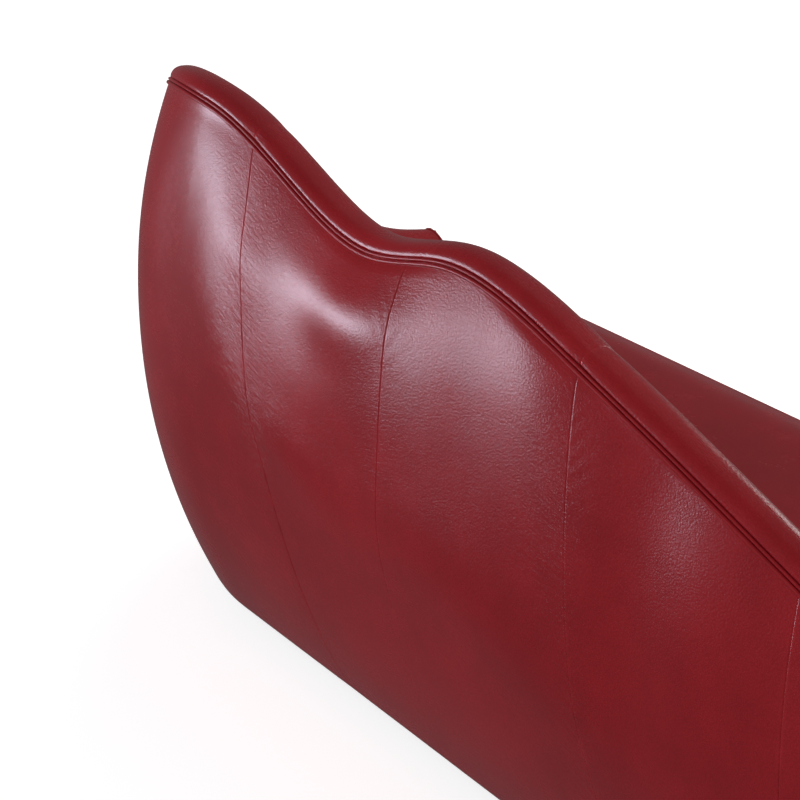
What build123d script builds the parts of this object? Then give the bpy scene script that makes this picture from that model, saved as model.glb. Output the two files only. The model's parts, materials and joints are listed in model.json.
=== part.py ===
from build123d import *
import math
import os

os.makedirs("parts", exist_ok=True)

# Overall sizes, in millimetres. X runs along the sofa to its high head end, Y to its back
back_height = 840
crest_length = 1760
crest_depth = 600
corner_radius = 324
seat_height = 388

# Outside skin, from the tucked hem at the floor up to the double welt
hem_height = 45
hem_out = -8
welt_out = 18
welt_drop = 16
belly_share = 0.10
outside_thickness = 22

# Top strip and inside pads
strip_inner_out = -44
strip_inner_drop = 42
strip_lip = 4
pad_foot_out = -102
pad_foot_height = 200
pad_belly_share = 0.05
facing_thickness = 20
facing_draft = 8

# Welt cords
welt_radius = 3
welt_pitch = 7
inner_welt_radius = 3

# Clearances
soft_clearance = 0.3
welt_clearance = 0.6
pad_clearance = 0.6
pin_clearance = 0.2
overrun = 400

# Timber frame
rail_bottom = 54
rail_height = 140
rail_thickness = 30
lower_rail_height = 60
crest_rail_height = 48
upright_width = 45
block_size = 110
block_height = 60

# Seat
seat_pad_thickness = 86
seat_edge_out = -118
seat_crown = 22
seat_overhang = 30
seat_front_radius = 16
seat_side_draft = 4
stuffing_thickness = 40
hessian_thickness = 2
web_width = 50
web_thickness = 2
web_half_count = 4
web_landing = 8
long_web_count = 2
strap_gap = 8
spring_gap = 12
dust_thickness = 1.6
dust_inset = 6
border_belly = 12
border_top_gap = 1.5

# Feet and fastenings
foot_neck_radius = 22
foot_belly_radius = 29
foot_ground_radius = 19
glide_radius = 14
glide_height = 4
foot_inset = 52
bolt_radius = 4
bolt_length = 70
bolt_head_radius = 8
bolt_head_height = 5
screw_radius = 3
screw_head_radius = 6
screw_head_height = 4
screw_length = 80
screw_height_shares = (0.3, 0.7)

# Seams of the outside skin on the straight back: place along it as a share of half the crest
# length, and how far each seam leans to the foot end at the hem, as a share of the back height
seam_shares = ((-0.56, 0.10), (-0.19, 0.15), (0.147, 0.06), (0.513, 0.20))
strip_seam_shares = (-0.19, 0.513)

# Crest line, from the foot end's front round the back to the head end's front: place as a share
# of half the girth, and height as a share of the back height
crest_shares = (
    (-1.00, 0.495), (-0.70, 0.575), (-0.48, 0.662), (-0.26, 0.787), (-0.105, 0.872),
    (0.045, 0.916), (0.157, 0.878), (0.254, 0.913), (0.358, 0.979), (0.462, 1.0),
    (0.58, 0.957), (0.694, 0.852), (0.79, 0.683), (0.85, 0.600), (0.918, 0.523), (1.0, 0.482),
)

# Widest gap between two sections of what follows the crest line
station_gap = 46
seam_margin = 30
crest_rail_inset = 0.8
upright_shares = (-0.86, -0.58, -0.33, -0.10, 0.12, 0.36, 0.60, 0.84)

straight_half = crest_length / 2 - corner_radius
corner_run = corner_radius * math.pi / 2
arm_run = crest_depth - corner_radius
half_girth = straight_half + corner_run + arm_run


# Crest line as one smooth curve: a natural cubic spline through the shares above
def spline_bends(places, values):
    """Second slopes at each place of the natural cubic spline."""
    count = len(places)
    upper = [0.0] * count
    right = [0.0] * count
    for i in range(1, count - 1):
        before = places[i] - places[i - 1]
        after = places[i + 1] - places[i]
        turn = (values[i + 1] - values[i]) / after - (values[i] - values[i - 1]) / before
        pivot = 2 * (before + after) - before * upper[i - 1]
        upper[i] = after / pivot
        right[i] = (6 * turn - before * right[i - 1]) / pivot
    bends = [0.0] * count
    for i in range(count - 2, 0, -1):
        bends[i] = right[i] - upper[i] * bends[i + 1]
    return bends


crest_places = [place * half_girth for place, height in crest_shares]
crest_values = [height * back_height for place, height in crest_shares]
crest_bends = spline_bends(crest_places, crest_values)


def crest_height(run):
    """Height of the crest at a run measured round the crest line from the middle of the back."""
    i = 0
    while i < len(crest_places) - 2 and run > crest_places[i + 1]:
        i += 1
    span = crest_places[i + 1] - crest_places[i]
    b = (run - crest_places[i]) / span
    a = 1 - b
    bend = (a**3 - a) * crest_bends[i] + (b**3 - b) * crest_bends[i + 1]
    return a * crest_values[i] + b * crest_values[i + 1] + bend * span**2 / 6


# Plan of the crest line: straight back, a quarter turn at each end, and straight arms
def crest_plan(run):
    """Plan place and outward direction of the crest line, before it is centred."""
    side = math.copysign(1, run)
    along = abs(run)
    angle = min(max(along - straight_half, 0) / corner_radius, math.pi / 2)
    x = min(along, straight_half) + corner_radius * math.sin(angle)
    y = -corner_radius * (1 - math.cos(angle)) - max(along - straight_half - corner_run, 0)
    return side * x, y, side * math.sin(angle), math.cos(angle)


def outside_chord(run):
    """Hem point, welt point and belly point of the outside skin, as (outward, height)."""
    top = crest_height(run) - welt_drop
    rise = top - hem_height
    reach = welt_out - hem_out
    belly = belly_share * math.hypot(rise, reach)
    lean = math.atan2(reach, rise)
    middle_out = (hem_out + welt_out) / 2 + belly * math.cos(lean)
    middle_height = (hem_height + top) / 2 - belly * math.sin(lean)
    return (hem_out, hem_height), (middle_out, middle_height), (welt_out, top)


def stations(first, last):
    """Evenly spaced places from first to last."""
    steps = max(2, math.ceil((last - first) / station_gap))
    return [first + (last - first) * i / steps for i in range(steps + 1)]


corner_start = straight_half + corner_run
corner_ends = (-corner_start, -straight_half, straight_half, corner_start)


def stretches(first, last):
    """Lists of places from first to last, with a new list at each end of a corner."""
    breaks = [first] + [place for place in corner_ends if first < place < last] + [last]
    return [stations(start, end) for start, end in zip(breaks, breaks[1:])]


shell_runs = [run for runs in stretches(-half_girth, half_girth) for run in runs]

# The origin is on the floor under the middle of the whole sofa
belly_x = [crest_plan(r)[0] + crest_plan(r)[2] * outside_chord(r)[1][0] for r in shell_runs]
belly_y = [crest_plan(r)[1] + crest_plan(r)[3] * outside_chord(r)[1][0] for r in shell_runs]
centre_x = -(max(belly_x) + min(belly_x)) / 2
arm_end_y = -crest_depth
front_face_y = arm_end_y - seat_overhang - border_belly
crest_back_y = -(max(belly_y) + front_face_y) / 2
arm_front_y = crest_back_y - crest_depth
front_y = arm_front_y - seat_overhang


def section_plane(run):
    """Upright plane square to the crest line: its x points outward and its y up."""
    x, y, out_x, out_y = crest_plan(run)
    return Plane(
        origin=(x + centre_x, y + crest_back_y, 0), x_dir=(out_x, out_y, 0), z_dir=(out_y, -out_x, 0)
    )


# Sections of what follows the crest line
def outside_section(run):
    """Outside skin with its padding: an outer and an inner bellied arc."""
    hem, belly, welt = outside_chord(run)
    top = (welt[0], welt[1] - soft_clearance)
    inner = [(out - outside_thickness, height) for out, height in (top, belly, hem)]
    with BuildSketch(section_plane(run)) as section:
        with BuildLine():
            ThreePointArc(hem, belly, top)
            Line(top, inner[0])
            ThreePointArc(inner[0], inner[1], inner[2])
            Line(inner[2], hem)
        make_face()
    return section.sketch


def strip_points(run):
    """Corners of the top strip: outer edge, crest, inner edge, inner lip and seat on the frame."""
    crest = crest_height(run)
    outer = (welt_out, crest - welt_drop)
    inner = (strip_inner_out, crest - strip_inner_drop)
    lip = (strip_inner_out + strip_lip, inner[1] - strip_lip)
    seat = (frame_in_out, outer[1])
    return outer, (0, crest), inner, lip, seat


# The back frame stands just inside the outside skin, and the seat rails inside its hem
frame_out_out = welt_out - outside_thickness - soft_clearance
rail_out_out = hem_out - outside_thickness - soft_clearance
frame_in_out = rail_out_out + soft_clearance
rail_top = rail_bottom + rail_height


def round_middles(crest):
    """Middle points of the two rounds of the top strip: to the outside and to the inside."""
    bend = math.sqrt(1 / 2)
    quarter = (welt_out * bend, crest[1] - welt_drop * (1 - bend))
    radius = (strip_inner_out**2 + strip_inner_drop**2) / (2 * strip_inner_drop)
    half_turn = math.asin(-strip_inner_out / radius) / 2
    drop = radius * (1 - math.cos(half_turn))
    return quarter, (-radius * math.sin(half_turn), crest[1] - drop)


def strip_section(run):
    """Top strip: a quarter round on the outside and a longer round to the inside."""
    outer, crest, inner, lip, seat = strip_points(run)
    quarter, middle = round_middles(crest)
    with BuildSketch(section_plane(run)) as section:
        with BuildLine():
            ThreePointArc(outer, quarter, crest)
            ThreePointArc(crest, middle, inner)
            Line(inner, lip)
            Line(lip, seat)
            Line(seat, outer)
        make_face()
    return section.sketch


def pad_section(run):
    """Inside pad: flat against the frame, bellied to the sitter."""
    outer, crest, inner, lip, seat = strip_points(run)
    back = rail_out_out
    slope = (seat[1] - lip[1]) / (seat[0] - lip[0])
    drop = pad_clearance * math.hypot(1, slope)
    top_back = (back, seat[1] - drop)
    top_front = (lip[0], lip[1] - drop)
    foot = (pad_foot_out, pad_foot_height)
    rise = math.dist(top_front, foot)
    belly = pad_belly_share * rise
    tilt = math.atan2(top_front[0] - foot[0], top_front[1] - foot[1])
    middle = (
        (foot[0] + top_front[0]) / 2 - belly * math.cos(tilt),
        (foot[1] + top_front[1]) / 2 + belly * math.sin(tilt),
    )
    with BuildSketch(section_plane(run)) as section:
        with BuildLine():
            Line((back, pad_foot_height), top_back)
            Line(top_back, top_front)
            ThreePointArc(top_front, middle, foot)
            Line(foot, (back, pad_foot_height))
        make_face()
    return section.sketch


def crest_rail_section(run):
    """Crest rail: a timber bar just under the top strip."""
    top = crest_height(run) - welt_drop - pad_clearance
    outer = frame_out_out - crest_rail_inset
    inner = frame_in_out + crest_rail_inset
    with BuildSketch(section_plane(run)) as section:
        with BuildLine():
            Polyline(
                (outer, top),
                (inner, top),
                (inner, top - crest_rail_height),
                (outer, top - crest_rail_height),
                close=True,
            )
        make_face()
    return section.sketch


def skin_place(run, down):
    """Place on the outside skin a way down from its top, and the outward direction there."""
    hem, belly, welt = outside_chord(run)
    chord = math.dist(hem, welt)
    radius = chord / (8 * belly_share) + belly_share * chord / 2
    along = ((welt[0] - hem[0]) / chord, (welt[1] - hem[1]) / chord)
    away = (along[1], -along[0])
    angle = math.asin(chord / 2 / radius) - down / radius
    out = [math.cos(angle) * away[i] + math.sin(angle) * along[i] for i in (0, 1)]
    return [belly[i] + radius * (out[i] - away[i]) for i in (0, 1)], out


def cord_section(run, down):
    """Half-round welt cord lying on the outside skin, its middle a way down from the top strip."""
    (x, y), (out_x, out_y) = skin_place(run, down)
    x += out_x * welt_clearance
    y += out_y * welt_clearance
    upper = (x - out_y * welt_radius, y + out_x * welt_radius)
    lower = (x + out_y * welt_radius, y - out_x * welt_radius)
    with BuildSketch(section_plane(run)) as section:
        with BuildLine():
            ThreePointArc(upper, (x + out_x * welt_radius, y + out_y * welt_radius), lower)
            Line(lower, upper)
        make_face()
    return section.sketch


def inner_cord_section(run):
    """Round welt cord along the inner edge of the top strip."""
    outer, crest, inner, lip, seat = strip_points(run)
    with BuildSketch(section_plane(run)) as section:
        with Locations((inner[0] - soft_clearance - inner_welt_radius, inner[1])):
            Circle(inner_welt_radius)
    return section.sketch


def finish(part, name):
    """Label a finished piece and write it to its file."""
    part.label = name
    export_step(part, f"parts/{name}.step")


# Planes that part the skins at their seams and at the ends of the corners
def seam_plane(place_share, lean_share):
    """Leaning plane of one seam; its positive side is the head end."""
    x = place_share * crest_length / 2
    top = crest_height(x) - welt_drop
    lean = lean_share * back_height
    slope = lean / (top - hem_height)
    return Plane(origin=(x + centre_x, 0, top), x_dir=(0, -1, 0), z_dir=(1, 0, -slope))


def cross_plane(x):
    """Plane across the sofa; its positive side is the head end."""
    return Plane(origin=(x + centre_x, 0, 0), x_dir=(0, -1, 0), z_dir=(1, 0, 0))


# Outside skin in five panels, from the foot end to the head end
outside_names = ("outside_foot_panel", "outside_back_panel_1", "outside_back_panel_2",
                 "outside_back_panel_3", "outside_head_panel")
seam_planes = [seam_plane(place, lean) for place, lean in seam_shares]
seam_x = [place * crest_length / 2 for place, lean in seam_shares]
panel_starts = [-half_girth] + [
    x - lean * back_height - seam_margin for x, (place, lean) in zip(seam_x, seam_shares)
]
panel_ends = [x + seam_margin for x in seam_x] + [half_girth]
for index, name in enumerate(outside_names):
    with BuildPart() as outside_panel:
        for runs in stretches(panel_starts[index], panel_ends[index]):
            loft([outside_section(run) for run in runs])
        if index > 0:
            split(bisect_by=seam_planes[index - 1], keep=Keep.TOP)
        if index < len(seam_planes):
            split(bisect_by=seam_planes[index], keep=Keep.BOTTOM)
    finish(outside_panel.part, name)

# Top strip in three lengths, with cross seams between them
strip_x = [place * crest_length / 2 for place in strip_seam_shares]
strip_ends = (
    ("top_strip_foot", -half_girth, strip_x[0]),
    ("top_strip_back", strip_x[0], strip_x[1]),
    ("top_strip_head", strip_x[1], half_girth),
)
for name, first, last in strip_ends:
    with BuildPart() as strip:
        for runs in stretches(first, last):
            loft([strip_section(run) for run in runs])
    finish(strip.part, name)

# Welt cords: two side by side on the outside, one under the inner edge
upper_down = welt_radius + welt_clearance
with BuildPart() as upper_welt:
    for runs in stretches(-half_girth, half_girth):
        loft([cord_section(run, upper_down) for run in runs])
finish(upper_welt.part, "outer_welt_upper")

with BuildPart() as lower_welt:
    for runs in stretches(-half_girth, half_girth):
        loft([cord_section(run, upper_down + welt_pitch) for run in runs])
finish(lower_welt.part, "outer_welt_lower")

with BuildPart() as inner_welt:
    for runs in stretches(-half_girth, half_girth):
        loft([inner_cord_section(run) for run in runs])
finish(inner_welt.part, "inner_welt")

# Inside pads and crest rails, each parted at the ends of the corners
parted_ends = (
    ("foot_arm", -half_girth, -corner_start),
    ("foot_corner", -corner_start, -straight_half),
    ("back", -straight_half, straight_half),
    ("head_corner", straight_half, corner_start),
    ("head_arm", corner_start, half_girth),
)
for place, first, last in parted_ends:
    with BuildPart() as inside_pad:
        loft([pad_section(run) for run in stations(first, last)])
    finish(inside_pad.part, f"inside_{place}_pad")
    with BuildPart() as crest_rail:
        loft([crest_rail_section(run) for run in stations(first, last)])
    finish(crest_rail.part, f"crest_rail_{place}")


def ring_sketch(outer, inner, height):
    """Flat U that follows the crest line between two outward places."""
    half = crest_length / 2
    with BuildSketch(Plane.XY.offset(height)) as ring:
        with BuildLine():
            for out in (outer, inner):
                radius = corner_radius + out
                x = half + out
                y = crest_back_y + out
                bend = radius * (1 - math.sqrt(1 / 2))
                left = [(centre_x - x, arm_front_y), (centre_x - x, y - radius)]
                right = [(centre_x + x, y - radius), (centre_x + x, arm_front_y)]
                Line(left[0], left[1])
                ThreePointArc(left[1], (centre_x - x + bend, y - bend), (centre_x - x + radius, y))
                Line((centre_x - x + radius, y), (centre_x + x - radius, y))
                ThreePointArc((centre_x + x - radius, y), (centre_x + x - bend, y - bend), right[0])
                Line(right[0], right[1])
            Line((centre_x - half - outer, arm_front_y), (centre_x - half - inner, arm_front_y))
            Line((centre_x + half + outer, arm_front_y), (centre_x + half + inner, arm_front_y))
        make_face()
    return ring.sketch


with BuildPart() as whole_lower_rail:
    lower_rail_plan = ring_sketch(frame_out_out, frame_in_out, rail_top - lower_rail_height)
    extrude(lower_rail_plan, amount=lower_rail_height)

arm_plane = Plane(origin=(0, crest_back_y - corner_radius, 0), x_dir=(1, 0, 0), z_dir=(0, 1, 0))
corner_planes = [cross_plane(-straight_half), cross_plane(straight_half)]
with BuildPart() as lower_rail:
    add(whole_lower_rail.part)
    split(bisect_by=corner_planes[0], keep=Keep.TOP)
    split(bisect_by=corner_planes[1], keep=Keep.BOTTOM)
finish(lower_rail.part, "lower_rail_back")
end_sides = (("foot", corner_planes[0], Keep.BOTTOM, -1), ("head", corner_planes[1], Keep.TOP, 1))
for end, plane, side, sign in end_sides:
    with BuildPart() as end_rail:
        add(whole_lower_rail.part)
        split(bisect_by=plane, keep=side)
    finish(end_rail.part, f"lower_rail_{end}")

# Uprights between the lower rail and the crest rail
for number, share in enumerate(upright_shares, start=1):
    run = share * half_girth
    lower_crest = min(crest_height(run - upright_width / 2), crest_height(run + upright_width / 2))
    rail_under = lower_crest - welt_drop - pad_clearance - crest_rail_height - 2 * soft_clearance
    middle_out = (frame_out_out + frame_in_out) / 2
    upright_thickness = frame_out_out - frame_in_out
    curve_room = upright_width**2 / (8 * corner_radius)
    with BuildPart() as upright:
        with BuildSketch(section_plane(run)) as upright_face:
            with Locations((middle_out, (rail_top + rail_under) / 2)):
                Rectangle(upright_thickness - 2 * curve_room, rail_under - rail_top)
        extrude(amount=upright_width / 2, both=True)
    finish(upright.part, f"upright_{number}")

# Seat rails, in a ring that the front rail closes
with BuildPart() as whole_rail:
    extrude(ring_sketch(rail_out_out, rail_out_out - rail_thickness, rail_bottom), amount=rail_height)

rail_in_x = crest_length / 2 + rail_out_out - rail_thickness
front_rail_y = arm_front_y + rail_thickness / 2
screw_heights = [rail_bottom + rail_height * share for share in screw_height_shares]


def screw_holes(side):
    """Holes for the two long screws at one end of the front rail."""
    holes = []
    head_x = rail_in_x + rail_thickness
    middle = head_x - screw_length / 2
    for height in screw_heights:
        shank = Rot(0, 90, 0) * Cylinder(screw_radius + pin_clearance, screw_length + 2 * pin_clearance)
        head = Rot(0, 90, 0) * Cylinder(screw_head_radius + pin_clearance, 2 * screw_head_height)
        holes.append(Pos(centre_x + side * middle, front_rail_y, height) * shank)
        holes.append(Pos(centre_x + side * head_x, front_rail_y, height) * head)
    return holes


with BuildPart() as back_rail:
    add(whole_rail.part)
    split(bisect_by=corner_planes[0], keep=Keep.TOP)
    split(bisect_by=corner_planes[1], keep=Keep.BOTTOM)
finish(back_rail.part, "seat_rail_back")

for end, plane, side, sign in end_sides:
    with BuildPart() as corner_rail:
        add(whole_rail.part)
        split(bisect_by=plane, keep=side)
        split(bisect_by=arm_plane, keep=Keep.TOP)
    finish(corner_rail.part, f"seat_corner_{end}")
    end_holes = screw_holes(sign)
    with BuildPart() as arm_rail:
        add(whole_rail.part)
        split(bisect_by=plane, keep=side)
        split(bisect_by=arm_plane, keep=Keep.BOTTOM)
        add(end_holes, mode=Mode.SUBTRACT)
    finish(arm_rail.part, f"seat_rail_{end}")

front_holes = screw_holes(-1) + screw_holes(1)
with BuildPart() as front_rail:
    with BuildSketch(Plane.XY.offset(rail_bottom)):
        with Locations((centre_x, front_rail_y)):
            Rectangle(2 * rail_in_x, rail_thickness)
    extrude(amount=rail_height)
    add(front_holes, mode=Mode.SUBTRACT)
finish(front_rail.part, "seat_rail_front")

with BuildPart() as rail_screws:
    for side in (-1, 1):
        for height in screw_heights:
            head_x = rail_in_x + rail_thickness - screw_head_height
            start = Plane(origin=(centre_x + side * head_x, front_rail_y, height), z_dir=(side, 0, 0))
            with BuildSketch(start):
                Circle(screw_head_radius)
            extrude(amount=screw_head_height - pin_clearance)
            with BuildSketch(start):
                Circle(screw_radius)
            extrude(amount=-(screw_length - screw_head_height - pin_clearance))
finish(rail_screws.part, "rail_screws")

# Corner blocks that carry the feet, with a hole for each foot bolt
block_x = rail_in_x
foot_x = block_x - foot_inset
front_foot_y = arm_front_y + rail_thickness + foot_inset
back_corner_y = crest_back_y - corner_radius
inner_radius = corner_radius + rail_out_out - rail_thickness
foot_reach = (inner_radius - foot_inset) * math.sqrt(1 / 2)
back_foot_x = straight_half + foot_reach
back_foot_y = back_corner_y + foot_reach
middle_back_y = crest_back_y + rail_out_out - rail_thickness - foot_inset
foot_places = {
    "front_foot_end": (-foot_x, front_foot_y),
    "front_middle": (0, front_foot_y),
    "front_head_end": (foot_x, front_foot_y),
    "back_foot_end": (-back_foot_x, back_foot_y),
    "back_middle": (0, middle_back_y),
    "back_head_end": (back_foot_x, back_foot_y),
}

with BuildPart() as corner_blocks:
    with BuildSketch(Plane.XY.offset(rail_bottom)):
        for side in (-1, 1):
            front = arm_front_y + rail_thickness
            with BuildLine():
                Polyline(
                    (centre_x + side * block_x, front),
                    (centre_x + side * block_x, front + block_size),
                    (centre_x + side * (block_x - block_size / 2), front + block_size),
                    (centre_x + side * (block_x - block_size), front + block_size / 2),
                    (centre_x + side * (block_x - block_size), front),
                    close=True,
                )
            make_face()
        with Locations((centre_x, arm_front_y + rail_thickness + block_size / 2)):
            Rectangle(block_size, block_size)
        back = crest_back_y + rail_out_out - rail_thickness
        with Locations((centre_x, back - block_size / 2)):
            Rectangle(block_size, block_size)
    for side in (-1, 1):
        with BuildSketch(Plane.XY.offset(rail_bottom)):
            with Locations((centre_x + side * straight_half, back_corner_y)):
                Circle(inner_radius - soft_clearance)
            with Locations(Location((centre_x + side * back_foot_x, back_foot_y), 45)):
                Rectangle(block_size, block_size, mode=Mode.INTERSECT)
    extrude(amount=block_height)
    with Locations([(centre_x + x, y, rail_bottom) for x, y in foot_places.values()]):
        Cylinder(
            bolt_radius + pin_clearance, 2 * bolt_length, mode=Mode.SUBTRACT
        )
finish(corner_blocks.part, "corner_blocks")

# Six turned feet on glides, each held by a bolt from below
for name, (x, y) in foot_places.items():
    profile_plane = Plane(origin=(centre_x + x, y, 0), x_dir=(1, 0, 0), z_dir=(0, -1, 0))
    with BuildPart() as foot:
        with BuildSketch(profile_plane):
            with BuildLine():
                Line((0, glide_height), (foot_ground_radius, glide_height))
                ThreePointArc(
                    (foot_ground_radius, glide_height),
                    (foot_belly_radius, rail_bottom / 2),
                    (foot_neck_radius, rail_bottom),
                )
                Line((foot_neck_radius, rail_bottom), (0, rail_bottom))
                Line((0, rail_bottom), (0, glide_height))
            make_face()
        revolve(axis=Axis((centre_x + x, y, 0), (0, 0, 1)))
        with Locations((centre_x + x, y, glide_height)):
            Cylinder(
                bolt_head_radius + pin_clearance,
                2 * (bolt_head_height + pin_clearance),
                mode=Mode.SUBTRACT,
            )
            Cylinder(bolt_radius + pin_clearance, 2 * overrun, mode=Mode.SUBTRACT)
    finish(foot.part, f"{name}_leg")

with BuildPart() as foot_bolts:
    with BuildSketch(Plane.XY.offset(glide_height)):
        with Locations([(centre_x + x, y) for x, y in foot_places.values()]):
            Circle(bolt_head_radius)
    extrude(amount=bolt_head_height)
    with BuildSketch(Plane.XY.offset(glide_height)):
        with Locations([(centre_x + x, y) for x, y in foot_places.values()]):
            Circle(bolt_radius)
    extrude(amount=bolt_length)
finish(foot_bolts.part, "foot_bolts")

with BuildPart() as glides:
    with BuildSketch(Plane.XY):
        with Locations([(centre_x + x, y) for x, y in foot_places.values()]):
            Circle(glide_radius)
    extrude(amount=glide_height)
finish(glides.part, "glides")

# Webbing under the rails: straps front to back, and longer straps along the seat under them
web_y_back = crest_back_y + rail_out_out
web_middle_y = (arm_front_y + web_y_back) / 2
first_strap_x = foot_belly_radius + strap_gap + web_width / 2
last_strap_x = straight_half - strap_gap - web_width / 2
web_pitch = (last_strap_x - first_strap_x) / (web_half_count - 1)
half_strap_x = [first_strap_x + web_pitch * i for i in range(web_half_count)]
strap_x = [-x for x in half_strap_x] + half_strap_x
block_edge_y = arm_front_y + rail_thickness + block_size
last_strap_y = back_foot_y - foot_belly_radius - strap_gap - web_width / 2
long_web_pitch = (last_strap_y - block_edge_y) / (long_web_count - 1 / 2)
strap_y = [block_edge_y + long_web_pitch * (i + 1 / 2) for i in range(long_web_count)]
with BuildPart() as cross_webbing:
    with BuildSketch(Plane.XY.offset(rail_bottom - web_thickness)):
        with Locations([(centre_x + x, web_middle_y) for x in strap_x]):
            Rectangle(web_width, web_y_back - arm_front_y)
    extrude(amount=web_thickness)
finish(cross_webbing.part, "webbing_front_to_back")

with BuildPart() as long_webbing:
    with BuildSketch(Plane.XY.offset(rail_bottom - 2 * web_thickness)):
        with Locations([(centre_x, y) for y in strap_y]):
            Rectangle(2 * (rail_in_x + web_landing), web_width)
    extrude(amount=web_thickness)
    with BuildSketch(Plane.XY.offset(rail_bottom - web_thickness)):
        for side in (-1, 1):
            landing_x = centre_x + side * (rail_in_x + web_landing / 2)
            with Locations([(landing_x, y) for y in strap_y]):
                Rectangle(web_landing, web_width)
    extrude(amount=web_thickness)
finish(long_webbing.part, "webbing_end_to_end")


# Seat: springs on the webbing, then hessian, stuffing and the crowned pad
def seat_outline(height, inset):
    """Plan of the seat between the inside pads, drawn in by an inset."""
    half = crest_length / 2 + seat_edge_out - inset
    back = crest_back_y + seat_edge_out - inset
    front = front_y + inset
    with BuildSketch(Plane.XY.offset(height)) as outline:
        with Locations((centre_x, (back + front) / 2)):
            Rectangle(2 * half, back - front)
        fillet(outline.vertices().group_by(Axis.Y)[-1], corner_radius + seat_edge_out - inset)
        fillet(outline.vertices().group_by(Axis.Y)[0], seat_front_radius)
    return outline.sketch


pad_bottom = seat_height - seat_pad_thickness
stuffing_bottom = pad_bottom - soft_clearance - stuffing_thickness
hessian_bottom = stuffing_bottom - hessian_thickness
spring_radius = min(web_pitch, long_web_pitch, 2 * first_strap_x) / 2 - spring_gap
with BuildPart() as springs:
    with BuildSketch(Plane.XY.offset(rail_bottom)):
        with Locations([(centre_x + x, y) for x in strap_x for y in strap_y]):
            Circle(spring_radius)
    extrude(amount=hessian_bottom - rail_bottom)
finish(springs.part, "pocketed_springs")

with BuildPart() as hessian:
    extrude(seat_outline(hessian_bottom, seat_overhang), amount=hessian_thickness)
finish(hessian.part, "spring_hessian")

with BuildPart() as stuffing:
    extrude(seat_outline(stuffing_bottom, seat_overhang), amount=stuffing_thickness)
finish(stuffing.part, "seat_stuffing")

# Crown of the seat pad: a long roof whose cross sections rise to the middle of the seat
seat_half = crest_length / 2 + seat_edge_out
seat_back_y = crest_back_y + seat_edge_out
crown_shares = ((-1, 0.0), (-0.6, 0.75), (0, 1.0), (0.6, 0.75), (1, 0.0))
roof_sections = []
for place, rise in crown_shares:
    roof_x = centre_x + place * seat_half
    roof_plane = Plane(origin=(roof_x, 0, 0), x_dir=(0, 1, 0), z_dir=(1, 0, 0))
    edge = seat_height - seat_crown
    top = edge + seat_crown * (1 + rise) / 2
    middle_y = (seat_back_y + front_y) / 2
    with BuildSketch(roof_plane) as roof:
        with BuildLine():
            Line((front_y, pad_bottom), (seat_back_y, pad_bottom))
            Line((seat_back_y, pad_bottom), (seat_back_y, edge))
            ThreePointArc((seat_back_y, edge), (middle_y, top), (front_y, edge))
            Line((front_y, edge), (front_y, pad_bottom))
        make_face()
    roof_sections.append(roof.sketch)

with BuildPart() as seat_pad:
    loft(roof_sections)
    plan = seat_outline(pad_bottom, 0)
    extrude(plan, amount=seat_pad_thickness, taper=seat_side_draft, mode=Mode.INTERSECT)
finish(seat_pad.part, "seat_pad")

# Front border below the seat pad, between the arm facings
border_half = crest_length / 2 + pad_foot_out - soft_clearance
border_back_y = arm_front_y - soft_clearance
border_top = pad_bottom - border_top_gap
with BuildPart() as front_border:
    with BuildSketch(Plane(origin=(centre_x, 0, 0), x_dir=(0, 1, 0), z_dir=(1, 0, 0))):
        with BuildLine():
            ThreePointArc(
                (front_y, hem_height),
                (front_y - border_belly, (hem_height + border_top) / 2),
                (front_y, border_top),
            )
            Line((front_y, border_top), (border_back_y, border_top))
            Line((border_back_y, border_top), (border_back_y, hem_height))
            Line((border_back_y, hem_height), (front_y, hem_height))
        make_face()
    extrude(amount=border_half, both=True)
finish(front_border.part, "front_border")

# Welt along the front edge of the seat, on top of the border
welt_face_y = front_y - soft_clearance
seat_welt_bottom = border_top + soft_clearance
seat_welt_middle = seat_welt_bottom + inner_welt_radius
seat_welt_top = seat_welt_middle + inner_welt_radius
with BuildPart() as seat_welt:
    with BuildSketch(Plane(origin=(centre_x, 0, 0), x_dir=(0, 1, 0), z_dir=(1, 0, 0))):
        with BuildLine():
            ThreePointArc(
                (welt_face_y, seat_welt_bottom),
                (welt_face_y - inner_welt_radius, seat_welt_middle),
                (welt_face_y, seat_welt_top),
            )
            Line((welt_face_y, seat_welt_top), (welt_face_y, seat_welt_bottom))
        make_face()
    extrude(amount=border_half - seat_front_radius, both=True)
finish(seat_welt.part, "seat_welt")

# Facings that close the fronts of the arms
for end, side in (("foot", -1), ("head", 1)):
    run = side * half_girth
    hem, belly, welt = outside_chord(run)
    outer, crest, inner, lip, seat = strip_points(run)
    quarter, middle = round_middles(crest)
    with BuildPart() as facing:
        with BuildSketch(section_plane(run)):
            with BuildLine():
                ThreePointArc(hem, belly, welt)
                ThreePointArc(welt, quarter, crest)
                ThreePointArc(crest, middle, inner)
                Line(inner, (pad_foot_out, pad_foot_height))
                Line((pad_foot_out, pad_foot_height), (pad_foot_out, hem_height))
                Line((pad_foot_out, hem_height), hem)
            make_face()
        extrude(amount=side * facing_thickness, taper=facing_draft)
    finish(facing.part, f"{end}_arm_facing")

# Dust cover under the webbing, with a hole round each foot
dust_top = rail_bottom - 2 * web_thickness - soft_clearance
with BuildPart() as dust_cover:
    dust_out = rail_out_out - dust_inset
    with BuildSketch(Plane.XY.offset(dust_top - dust_thickness)) as dust_outline:
        dust_back = crest_back_y + dust_out
        with Locations((centre_x, (dust_back + arm_front_y) / 2)):
            Rectangle(crest_length + 2 * dust_out, dust_back - arm_front_y)
        fillet(dust_outline.vertices().group_by(Axis.Y)[-1], corner_radius + dust_out)
        with Locations([(centre_x + x, y) for x, y in foot_places.values()]):
            Circle(foot_belly_radius + soft_clearance, mode=Mode.SUBTRACT)
    extrude(amount=dust_thickness)
finish(dust_cover.part, "dust_cover")
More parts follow.
